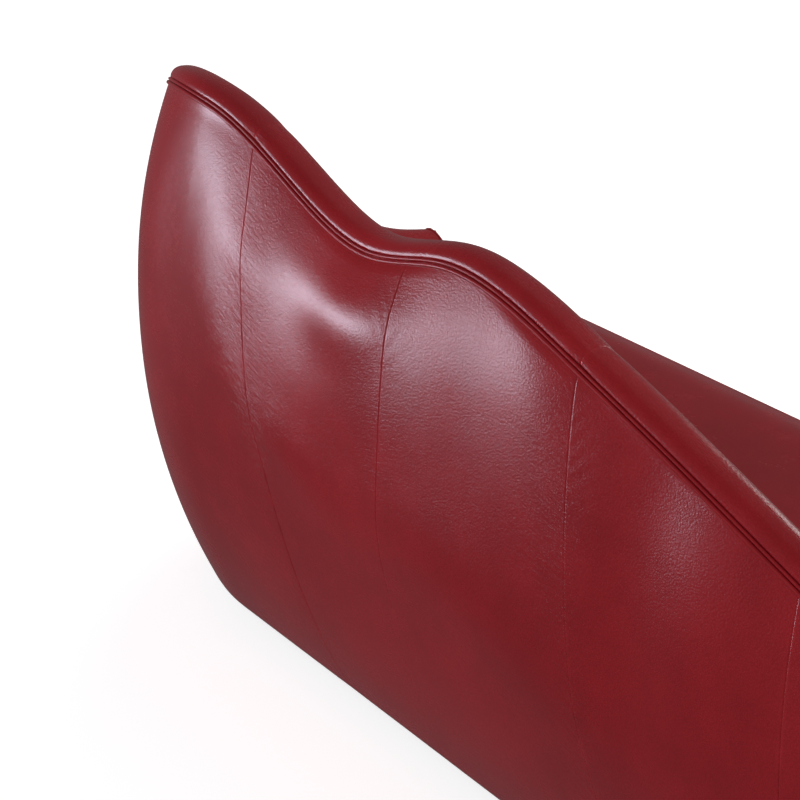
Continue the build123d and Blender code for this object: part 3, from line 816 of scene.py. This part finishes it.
def cord_stops(first, last, gap, way):
    """Stops of a cord that follows the crest line."""
    count = max(2, round((last - first) / gap))
    stops = []
    for i in range(count + 1):
        run = first + (last - first) * i / count
        out, height, way_out, way_up = way(run)
        out_x, out_y = crest_plan(run)[2:]
        side = Vector((out_x * way_out, out_y * way_out, way_up))
        up = Vector((-out_x * way_up, -out_y * way_up, way_out))
        stops.append((at(run, out, height), side, up))
    return stops


def pad_front(run, share):
    """Outward place, height and direction to the sitter on an inside pad, from foot to top."""
    crest = crest_height(run)
    top = (strip_inner_out + 0.004, crest - strip_inner_drop - 0.006)
    foot = (pad_foot_out, pad_foot_height)
    rise = math.dist(top, foot)
    along = ((top[0] - foot[0]) / rise, (top[1] - foot[1]) / rise)
    away = (-along[1], along[0])
    bow = pad_belly_share * rise * 4 * share * (1 - share)
    return (
        foot[0] + along[0] * rise * share + away[0] * bow,
        foot[1] + along[1] * rise * share + away[1] * bow,
        away[0], away[1],
    )


def pad_mesh(first, last, columns, rows, sizes):
    """Closed inside pad between two seams: a full face to the sitter, its edges drawn back."""

    def run_at(u):
        return first + (last - first) * crowd(u, 0.7)

    def fullness(u, v):
        across = min(run_at(u) - first, last - run_at(u))
        up = min(v, 1 - v) * (crest_height(run_at(u)) - 0.25)
        return (1 - math.exp(-across / 0.022)) * (1 - math.exp(-up / 0.020))

    def place(u, v):
        run = run_at(u)
        out, height, way_out, way_up = pad_front(run, v)
        soft = fullness(u, v)
        swell = noise.noise(Vector((run * 5.0, height * 5.0, 9.0))) * 0.003
        move = sizes.pad_fullness * (soft - 1.0) + (0.004 + swell) * soft
        return at(run, out + way_out * move, height + way_up * move)

    def pucker(u, v):
        return min(1.0, 1.0 - fullness(u, v) + 0.1)

    def edge(u, v):
        return 0.6 * (1.0 - fullness(u, v))

    bm = grid_mesh(columns, rows, place, lambda u, v: (run_at(u), v * 0.5), {"pucker": pucker, "edge": edge})
    turn_if_inward(bm, lambda point: -away_from_middle(point))
    return bm


def node_mesh(name, gap_x, gap_y):
    """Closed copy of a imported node's mesh, merged and cut into a net."""
    low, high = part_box(name)
    bm = bmesh.new()
    bm.from_mesh(frame["nodes"][name].data)
    bmesh.ops.remove_doubles(bm, verts=bm.verts, dist=0.00001)
    for axis, gap in ((0, gap_x), (1, gap_y)):
        way = Vector((1, 0, 0)) if axis == 0 else Vector((0, 1, 0))
        count = round((high[axis] - low[axis]) / gap)
        for i in range(1, count):
            place = way * (low[axis] + (high[axis] - low[axis]) * i / count)
            everything = bm.verts[:] + bm.edges[:] + bm.faces[:]
            bmesh.ops.bisect_plane(bm, geom=everything, plane_co=place, plane_no=way)
    return bm


def arc_points(centre, radius, start, end, count):
    """Points along an arc in plan."""
    found = []
    for i in range(count + 1):
        angle = start + (end - start) * i / count
        found.append((centre[0] + radius * math.cos(angle), centre[1] + radius * math.sin(angle)))
    return found


def seat_block(inset, bottom, top, back_out, front, edge_radius):
    """Closed block with the seat's outline: rounded back corners, tight front ones, eased edges."""
    half = crest_length / 2 + back_out - inset
    back = crest_back_y + back_out - inset
    low = front + inset
    big = corner_radius + back_out - inset
    small = seat_corner_round
    points = []
    points += arc_points((centre_x + half - big, back - big), big, 0, math.pi / 2, 14)
    points += arc_points((centre_x - half + big, back - big), big, math.pi / 2, math.pi, 14)
    points += arc_points((centre_x - half + small, low + small), small, math.pi, 1.5 * math.pi, 4)
    points += arc_points((centre_x + half - small, low + small), small, 1.5 * math.pi, 2 * math.pi, 4)
    bm = bmesh.new()
    outline = bm.faces.new([bm.verts.new((x, y, bottom)) for x, y in points])
    made = bmesh.ops.extrude_face_region(bm, geom=[outline])
    lifted = [item for item in made["geom"] if isinstance(item, bmesh.types.BMVert)]
    bmesh.ops.translate(bm, verts=lifted, vec=(0, 0, top - bottom))
    face_outwards(bm)
    rims = [edge for edge in bm.edges if abs(edge.verts[0].co.z - edge.verts[1].co.z) < 0.0001]
    bmesh.ops.bevel(
        bm, geom=rims, offset=edge_radius, segments=4, profile=0.5, affect="EDGES", material=-1
    )
    return bm


class SofaSizes(bpy.types.PropertyGroup):
    """Sizes of the leatherwork that may be changed."""

    fullness: bpy.props.FloatProperty(
        name="Fullness", description="How far the stuffing's full and hollow places show",
        default=1.0, subtype="FACTOR",
    )
    wave_depth: bpy.props.FloatProperty(
        name="Slow waves", description="Height of the slow waves in the skin",
        default=0.0016, unit="LENGTH", subtype="DISTANCE",
    )
    seam_depth: bpy.props.FloatProperty(
        name="Seam groove", description="Depth of the groove at a seam",
        default=0.0004, unit="LENGTH", subtype="DISTANCE",
    )
    pucker_depth: bpy.props.FloatProperty(
        name="Puckers", description="Height of the puckers beside a seam",
        default=0.0006, unit="LENGTH", subtype="DISTANCE",
    )
    skin_wall: bpy.props.FloatProperty(
        name="Skin", description="Thickness of the padded outside skin",
        default=0.012, unit="LENGTH", subtype="DISTANCE",
    )
    cord_radius: bpy.props.FloatProperty(
        name="Welt cord", description="Radius of the welt cords",
        default=0.0028, unit="LENGTH", subtype="DISTANCE",
    )
    pad_fullness: bpy.props.FloatProperty(
        name="Pad edges", description="How far the pads' edges are drawn back",
        default=0.016, unit="LENGTH", subtype="DISTANCE",
    )


class SofaColours(bpy.types.PropertyGroup):
    """Colours of the sofa and its hidden materials."""

    hide: bpy.props.FloatVectorProperty(
        name="Leather", description="Colour of the leather",
        default=(0.345, 0.0125, 0.0175), subtype="COLOR", size=3,
    )
    beech: bpy.props.FloatVectorProperty(
        name="Beech", description="Colour of the frame",
        default=(0.52, 0.33, 0.18), subtype="COLOR", size=3,
    )
    feet: bpy.props.FloatVectorProperty(
        name="Feet", description="Colour of the stained feet",
        default=(0.055, 0.028, 0.016), subtype="COLOR", size=3,
    )
    jute: bpy.props.FloatVectorProperty(
        name="Jute", description="Colour of webbing and hessian",
        default=(0.38, 0.26, 0.14), subtype="COLOR", size=3,
    )
    calico: bpy.props.FloatVectorProperty(
        name="Calico", description="Colour of the spring pockets",
        default=(0.72, 0.66, 0.54), subtype="COLOR", size=3,
    )
    stuffing: bpy.props.FloatVectorProperty(
        name="Stuffing", description="Colour of the curled hair stuffing",
        default=(0.11, 0.085, 0.065), subtype="COLOR", size=3,
    )
    dust: bpy.props.FloatVectorProperty(
        name="Dust cloth", description="Colour of the cloth under the seat",
        default=(0.018, 0.018, 0.02), subtype="COLOR", size=3,
    )
    steel: bpy.props.FloatVectorProperty(
        name="Steel", description="Colour of bolts and screws",
        default=(0.62, 0.62, 0.60), subtype="COLOR", size=3,
    )
    glide: bpy.props.FloatVectorProperty(
        name="Glides", description="Colour of the glides under the feet",
        default=(0.03, 0.03, 0.03), subtype="COLOR", size=3,
    )
    floor: bpy.props.FloatVectorProperty(
        name="Floor", description="Colour of the studio floor",
        default=(0.80, 0.80, 0.80), subtype="COLOR", size=3,
    )


class SOFA_OT_stage(bpy.types.Operator):
    """Set up the pale floor, the soft lights and the camera"""

    bl_idname = "sofa.stage"
    bl_label = "Studio"

    def execute(self, context):
        """Build the studio."""
        hues = context.scene.sofa_colours
        bm = bmesh.new()
        bmesh.ops.create_grid(bm, x_segments=8, y_segments=8, size=14)
        mesh = bpy.data.meshes.new("studio_floor")
        bm.to_mesh(mesh)
        bm.free()
        floor = bpy.data.objects.new("studio_floor", mesh)
        context.scene.collection.objects.link(floor)
        board = Board("studio_floor_look")
        mottle = board.cloud(0.8, 3.0)
        tint = board.mix(mottle, full(hues.floor, 0.97), full(hues.floor, 1.03))
        mesh.materials.append(board.surface(
            Base_Color=tint, Roughness=0.9, Specular_IOR_Level=0.1,
            Emission_Color=(1.0, 1.0, 1.0, 1.0), Emission_Strength=0.72,
        ))
        floor.visible_glossy = False
        floor.visible_diffuse = False
        world = bpy.data.worlds.new("studio_air")
        world.use_nodes = True
        world.node_tree.nodes["Background"].inputs["Color"].default_value = (0.93, 0.95, 1.0, 1.0)
        world.node_tree.nodes["Background"].inputs["Strength"].default_value = 0.15
        context.scene.world = world
        context.scene.view_settings.view_transform = "Standard"
        for name, bearing, size, power, colour, mirrored in lamps:
            self.lamp(context, name, bearing, size, power, colour, mirrored)
        eye = Vector((centre_x + eye_from_crest[0], crest_back_y + eye_from_crest[1], eye_height))
        pitch = math.radians(eye_tilt)
        level = math.cos(pitch)
        way = Vector((level * eye_heading[0], level * eye_heading[1], -math.sin(pitch)))
        data = bpy.data.cameras.new("photo_camera")
        data.lens = eye_lens
        data.sensor_width = eye_sensor
        camera = bpy.data.objects.new("photo_camera", data)
        camera.location = eye
        camera.rotation_euler = way.to_track_quat("-Z", "Y").to_euler()
        context.scene.collection.objects.link(camera)
        context.scene.camera = camera
        return {"FINISHED"}

    def lamp(self, context, name, bearing, size, power, colour, mirrored):
        """One rectangular soft light, seen from the sofa at a bearing."""
        data = bpy.data.lights.new(name, "AREA")
        data.shape = "RECTANGLE"
        data.size, data.size_y = size
        data.energy = power
        data.color = colour
        turn, rise = (math.radians(angle) for angle in bearing)
        way = Vector((math.cos(rise) * math.cos(turn), math.cos(rise) * math.sin(turn), math.sin(rise)))
        light = bpy.data.objects.new(name, data)
        light.location = Vector(lamp_aim) + way * lamp_distance
        light.rotation_euler = way.to_track_quat("Z", "Y").to_euler()
        light.visible_camera = False
        light.visible_glossy = mirrored
        context.scene.collection.objects.link(light)


class SOFA_OT_outside(bpy.types.Operator):
    """Make the five panels of the outside skin"""

    bl_idname = "sofa.outside"
    bl_label = "Outside skin"

    def execute(self, context):
        """Build the panels from the foot end to the head end."""
        sizes = context.scene.sofa_sizes
        panels = (
            ("outside_foot_skin", "outside_foot_panel", 170),
            ("outside_back_skin_1", "outside_back_panel_1", 110),
            ("outside_back_skin_2", "outside_back_panel_2", 110),
            ("outside_back_skin_3", "outside_back_panel_3", 110),
            ("outside_head_skin", "outside_head_panel", 210),
        )
        for index, (name, node, columns) in enumerate(panels):
            bm = skin_panel(index, columns, 120, sizes)
            build(name, bm, "oxblood_leather", node, wall=sizes.skin_wall, padded=0.8)
        return {"FINISHED"}


class SOFA_OT_strip(bpy.types.Operator):
    """Make the three lengths of the rolled top strip"""

    bl_idname = "sofa.strip"
    bl_label = "Top strip"

    def execute(self, context):
        """Build the lengths between the cross seams."""
        sizes = context.scene.sofa_sizes
        seams = [place * crest_length / 2 for place in strip_seam_shares]
        lengths = (
            ("top_strip_foot_roll", "top_strip_foot", -half_girth, seams[0], 240),
            ("top_strip_back_roll", "top_strip_back", seams[0], seams[1], 150),
            ("top_strip_head_roll", "top_strip_head", seams[1], half_girth, 210),
        )
        for name, node, first, last, columns in lengths:
            bm = strip_length_mesh(first, last, columns, 44, sizes)
            build(name, bm, "oxblood_leather", node, wall=0.005, padded=0.9)
        return {"FINISHED"}


class SOFA_OT_welts(bpy.types.Operator):
    """Lay the double welt outside, the single one inside and the one along the seat"""

    bl_idname = "sofa.welts"
    bl_label = "Welts"

    def execute(self, context):
        """Build each cord along its seam."""
        radius = context.scene.sofa_sizes.cord_radius

        def on_skin(down, thick):
            def way(run):
                out, height, way_out, way_up = skin_point(run, down)
                lift = thick * cord_lift_share
                return out + way_out * lift, height + way_up * lift, way_out, way_up
            return way

        def on_edge(run):
            out, up = -math.sin(strip_turn), math.cos(strip_turn)
            reach = strip_round + 0.0022
            return out * reach - 0.001, crest_height(run) - strip_round + up * reach - 0.004, out, up

        cords = (
            ("double_welt_upper", "outer_welt_upper", upper_cord_down, upper_cord_share * radius),
            ("double_welt_lower", "outer_welt_lower", lower_cord_down, lower_cord_share * radius),
        )
        for name, node, down, thick in cords:
            stops = cord_stops(-half_girth, half_girth, outer_cord_step, on_skin(down, thick))
            build(name, tube(stops, thick), "welt_leather", node)
        stops = cord_stops(-half_girth, half_girth, inner_cord_step, on_edge)
        build("inside_welt", tube(stops, inner_cord_radius), "welt_leather", "inner_welt")
        half = crest_length / 2 + pad_foot_out - 0.018
        stops = []
        for i in range(161):
            x = centre_x - half + 2 * half * i / 160
            place = Vector((x, front_y - 0.0006, border_top + 0.0036))
            stops.append((place, Vector((0, -1, 0)), Vector((0, 0, 1))))
        build("seat_front_welt", tube(stops, border_cord_radius), "welt_leather", "seat_welt")
        return {"FINISHED"}


class SOFA_OT_pads(bpy.types.Operator):
    """Make the inside pads of the arms, corners and back"""

    bl_idname = "sofa.pads"
    bl_label = "Inside pads"

    def execute(self, context):
        """Build the pads from the foot arm to the head arm."""
        sizes = context.scene.sofa_sizes
        pads = (
            ("foot_arm_pad", "inside_foot_arm_pad", -half_girth, -corner_start, 60),
            ("foot_corner_pad", "inside_foot_corner_pad", -corner_start, -straight_half, 90),
            ("back_pad", "inside_back_pad", -straight_half, straight_half, 180),
            ("head_corner_pad", "inside_head_corner_pad", straight_half, corner_start, 90),
            ("head_arm_pad", "inside_head_arm_pad", corner_start, half_girth, 60),
        )
        for name, node, first, last, columns in pads:
            bm = pad_mesh(first + 0.0012, last - 0.0012, columns, 80, sizes)
            build(name, bm, "oxblood_leather", node, wall=0.018, padded=0.8)
        return {"FINISHED"}


class SOFA_OT_inside(bpy.types.Operator):
    """Make what lies under the seat: webbing, springs in pockets, hessian, stuffing and dust cover"""

    bl_idname = "sofa.inside"
    bl_label = "Under the seat"

    def execute(self, context):
        """Build the layers from the top down."""
        bm = node_mesh("seat_stuffing", 0.060, 0.060)
        for vert in bm.verts:
            lump = noise.noise(vert.co * 22.0) * 0.5 + noise.noise(vert.co * 60.0) * 0.3
            vert.co.z -= (0.0016 + 0.0030 * lump) * ease(vert.co.z, pad_bottom - 0.020, pad_bottom)
        build("hair_stuffing", bm, "stuffing", "seat_stuffing", padded=0.6)
        bm = node_mesh("spring_hessian", 0.090, 0.090)
        hessian = build("hessian_sheet", bm, "hessian", "spring_hessian")
        pockets = self.pockets()
        straps = (
            ("webbing_long_straps", "webbing_end_to_end", long_strap_flat,
             ["seat_rail_foot", "seat_rail_head"]),
            ("webbing_cross_straps", "webbing_front_to_back", cross_strap_flat,
             ["seat_rail_front", "seat_rail_back"]),
        )
        for name, node, flat, held_by in straps:
            strap = build(name, node_mesh(node, 0.040, 0.040), "jute_webbing", node)
        bm = node_mesh("dust_cover", 0.070, 0.070)
        for vert in bm.verts:
            x, y = vert.co.x, vert.co.y
            away = min(abs(x - cross) for cross in cross_strap_places)
            slack = ease(min(y - arm_front_y, 0.236 - y), 0.0, 0.12) * ease(away, 0.0, 0.12)
            vert.co.z -= 0.0030 * slack * (1 + 0.4 * noise.noise(Vector((x * 9, y * 9, 1.0))))
        cover = build("dust_cover_sheet", bm, "dust_cloth", "dust_cover")
        held_by = ["seat_rail_front", "seat_rail_back"]
        return {"FINISHED"}

    def pockets(self):
        """Sixteen barrel springs sewn into pockets that are gathered at both ends."""
        radius, low, high, ease_in = spring_radius, spring_low, spring_high, 0.016
        profile = [(0.006, low), (radius - ease_in, low)]
        for step in range(1, 6):
            angle = math.pi / 2 * step / 5
            profile.append((radius - ease_in * (1 - math.sin(angle)), low + ease_in * (1 - math.cos(angle))))
        middle = (low + high) / 2
        profile += [(radius, low + 0.05), (radius, middle)]
        profile += [(reach, low + high - height) for reach, height in reversed(profile[:-1])]
        bm = bmesh.new()
        for x in spring_places_x:
            for y in spring_places_y:
                stops = [bm.verts.new((x + centre_x + reach, y, height)) for reach, height in profile]
                edges = [bm.edges.new(pair) for pair in zip(stops, stops[1:])]
                bmesh.ops.spin(
                    bm, geom=stops + edges, axis=(0, 0, 1), cent=(x + centre_x, y, 0), dvec=(0, 0, 0),
                    angle=2 * math.pi, steps=48, use_merge=True, use_duplicate=False,
                )
                for vert in bm.verts:
                    side = Vector((vert.co.x - x - centre_x, vert.co.y - y, 0))
                    if side.length < radius + 0.001:
                        turn = math.atan2(side.y, side.x)
                        gather = ease(abs(vert.co.z - middle), 0.055, 0.100)
                        fold = 0.0012 * math.cos(24 * turn) * gather + 0.0006 * math.cos(5 * turn + x * 30)
                        vert.co -= side.normalized() * (0.0020 + fold) * ease(side.length, 0.010, 0.040)
        ends = [edge for edge in bm.edges if edge.is_boundary]
        bmesh.ops.holes_fill(bm, edges=ends, sides=0)
        face_outwards(bm)
        for face in bm.faces:
            face.smooth = True
        return build("spring_pockets", bm, "calico", "pocketed_springs", padded=0.8)


class SOFA_OT_seat(bpy.types.Operator):
    """Make the crowned seat, its edge welt and its front border"""

    bl_idname = "sofa.seat"
    bl_label = "Seat"

    def execute(self, context):
        """Build the seat from the top down."""
        low, high = pad_bottom - seat_press, seat_height - seat_crown_room
        bm = seat_block(seat_gap, low, high, seat_edge_out, front_y, seat_round)
        seat = build("seat_cushion", bm, "oxblood_leather", "seat_pad", padded=0.75)

        def hold(before, after):
            side = Vector((after.x - before.x, after.y - before.y))
            if side.length > 0.006:
                side = side * (0.006 / side.length)
            return Vector((before.x + side.x, before.y + side.y, max(after.z, pad_bottom + 0.001)))

        soften(seat, 0.009, 4.0, 0.022, hold)
        self.edge_welt(seat)
        self.border()
        return {"FINISHED"}

    def edge_welt(self, seat):
        """Cord sewn along the upper front edge of the seat, laid on its finished surface."""
        surface = BVHTree.FromObject(seat, bpy.context.evaluated_depsgraph_get())
        half = crest_length / 2 + seat_edge_out - 0.022
        slant = Vector((0, 1, -1)).normalized()
        places = []
        for i in range(241):
            start = Vector((centre_x - half + 2 * half * i / 240, front_y - 0.20, seat_height - 0.012 + 0.20))
            place = surface.ray_cast(start, slant)[0]
            places.append(place - slant * 0.0012)
        for _ in range(12):
            middles = [(a + b + b + c) / 4 for a, b, c in zip(places, places[1:], places[2:])]
            places = [places[0], *middles, places[-1]]
        stops = [(place, -slant, Vector((0, 1, 1)).normalized()) for place in places]
        build("seat_edge_welt", tube(stops, edge_cord_radius), "welt_leather")

    def border(self):
        """Padded band under the front of the seat."""
        half = crest_length / 2 + pad_foot_out + border_lap

        def place(u, v):
            x = centre_x - half + 2 * half * crowd(u, 0.8)
            height = hem_height + (border_top - hem_height) * v
            bow = border_belly * 4 * v * (1 - v)
            ends = 1 - bell(min(u, 1 - u), 0.006)
            rim = 1 - bell(min(v, 1 - v), 0.03)
            wave = noise.noise(Vector((x * 4, height * 6, 3))) * 0.0012
            return Vector((x, front_y + 0.004 - (bow + 0.003 * rim + wave) * (0.35 + 0.65 * ends), height))

        marks = {
            "pucker": lambda u, v: 0.5 * bell(min(v, 1 - v), 0.08),
            "edge": lambda u, v: 0.5 * bell(min(v, 1 - v), 0.02),
        }
        bm = grid_mesh(220, 50, place, lambda u, v: (u * 2 * half, v * 0.256), marks)
        turn_if_inward(bm, lambda point: Vector((0, -1, 0)))
        build("seat_front_border", bm, "oxblood_leather", "front_border", wall=0.027, padded=0.7)


class SOFA_OT_facings(bpy.types.Operator):
    """Make the padded facings that close the fronts of the arms"""

    bl_idname = "sofa.facings"
    bl_label = "Arm facings"

    def execute(self, context):
        """Build both facings and the cords round them."""
        for end, side in (("foot", -1), ("head", 1)):
            self.facing(end, side * half_girth)
        return {"FINISHED"}

    def outline(self, run, height):
        """Inner and outer edge of the facing at a height."""
        crest = crest_height(run)
        top = crest - welt_drop
        if height < top:
            low, high = 0.0, skin_length(run)
            for _ in range(40):
                middle = (low + high) / 2
                if skin_point(run, middle)[1] > height:
                    low = middle
                else:
                    high = middle
            outer = skin_point(run, low)[0]
        else:
            outer = math.sqrt(max(0.0, welt_drop**2 - (height - top) ** 2))
        inner_top = crest - strip_inner_drop
        if height < border_top:
            inner = pad_foot_out
        elif height < inner_top:
            inner = pad_foot_out + (strip_inner_out - pad_foot_out) * ease(height, border_top, inner_top)
        else:
            rise = height - (crest - strip_round)
            inner = -math.sqrt(max(0.0, strip_round**2 - rise**2))
        return inner, outer

    def facing(self, end, run):
        """One facing: its face full in the middle and drawn back at its edge."""
        crest = crest_height(run)
        columns, rows = 40, 120

        def edges_at(v):
            height = hem_height + (crest - hem_height) * v ** 0.9 if v < 1 else crest
            return height, *self.outline(run, height)

        rim = []
        for i in range(201):
            height, inner, outer = edges_at(i / 200)
            rim.append((inner, height))
            rim.append((outer, height))

        def place(u, v):
            height, inner, outer = edges_at(v)
            out = inner + (outer - inner) * crowd(u, 0.75)
            near = min((out - a) ** 2 + (height - b) ** 2 for a, b in rim) ** 0.5
            full_face = 1 - math.exp(-near / 0.007)
            swell = 0.003 * (1 - math.exp(-near / 0.03))
            point = at(run, out, height)
            point.y -= 0.001 + (facing_thickness - 0.003) * full_face + swell
            return point

        marks = {
            "pucker": lambda u, v: 0.35 * bell(min(u, 1 - u), 0.12),
            "edge": lambda u, v: 0.5 * bell(min(u, 1 - u), 0.03),
        }
        bm = grid_mesh(columns, rows, place, lambda u, v: (u * 0.12, v * 0.37), marks)
        bmesh.ops.remove_doubles(bm, verts=bm.verts, dist=0.00005)
        turn_if_inward(bm, lambda point: Vector((0, -1, 0)))
        build(f"{end}_facing_pad", bm, "oxblood_leather", f"{end}_arm_facing", wall=0.004, padded=0.6)
        stops = []
        path = []
        for i in range(141):
            height, inner, outer = edges_at(i / 140)
            path.append((outer, height))
        for i in range(139, -1, -1):
            height, inner, outer = edges_at(i / 140)
            path.append((inner, height))
        for i, (out, height) in enumerate(path):
            before, after = path[max(i - 1, 0)], path[min(i + 1, len(path) - 1)]
            along = Vector((after[0] - before[0], after[1] - before[1]))
            along = along.normalized() if along.length > 0 else Vector((0, 1))
            out_x = crest_plan(run)[2]
            way = Vector((out_x * along.y, 0, -along.x))
            point = at(run, out, height)
            point.y -= 0.0035
            stops.append((point - way * 0.0012, way, Vector((0, -1, 0))))
        build(f"{end}_facing_welt", tube(stops, facing_cord_radius, 10), "welt_leather")


class SOFA_OT_frame(bpy.types.Operator):
    """Give the frame, feet, webbing and fastenings their materials"""

    bl_idname = "sofa.frame"
    bl_label = "Frame and fastenings"

    def execute(self, context):
        """Finish every solid that shows as it is."""
        for part in frame["record"]["subparts"]:
            node = frame["nodes"][part["node"]]
            if not node.hide_render:
                node.data.materials.clear()
                node.data.materials.append(finish_of(part["material_slot"]))
        return {"FINISHED"}


class SOFA_PT_panel(bpy.types.Panel):
    """Sofa tools in the sidebar"""

    bl_label = "Sofa"
    bl_idname = "SOFA_PT_panel"
    bl_space_type = "VIEW_3D"
    bl_region_type = "UI"
    bl_category = "Sofa"

    def draw(self, context):
        """List the pieces and their settings."""
        for operator in operators:
            self.layout.operator(operator.bl_idname)
        for group in (context.scene.sofa_sizes, context.scene.sofa_colours):
            box = self.layout.box()
            for name in group.bl_rna.properties.keys():
                if name not in ("rna_type", "name"):
                    box.prop(group, name)


operators = (
    SOFA_OT_stage, SOFA_OT_outside, SOFA_OT_strip, SOFA_OT_welts, SOFA_OT_pads,
    SOFA_OT_seat, SOFA_OT_inside, SOFA_OT_facings, SOFA_OT_frame,
)
classes = (SofaSizes, SofaColours, *operators, SOFA_PT_panel)


def register():
    """Add the classes and the scene's settings."""
    for item in classes:
        bpy.utils.register_class(item)
    bpy.types.Scene.sofa_sizes = bpy.props.PointerProperty(type=SofaSizes)
    bpy.types.Scene.sofa_colours = bpy.props.PointerProperty(type=SofaColours)


def unregister():
    """Take the settings and classes away again."""
    del bpy.types.Scene.sofa_colours
    del bpy.types.Scene.sofa_sizes
    for item in reversed(classes):
        bpy.utils.unregister_class(item)


def main():
    """Dress the sofa piece by piece."""
    register()
    bpy.ops.sofa.stage()
    bpy.ops.sofa.outside()
    bpy.ops.sofa.strip()
    bpy.ops.sofa.welts()
    bpy.ops.sofa.pads()
    bpy.ops.sofa.seat()
    bpy.ops.sofa.inside()
    bpy.ops.sofa.facings()
    bpy.ops.sofa.frame()


if __name__ == "__main__":
    main()
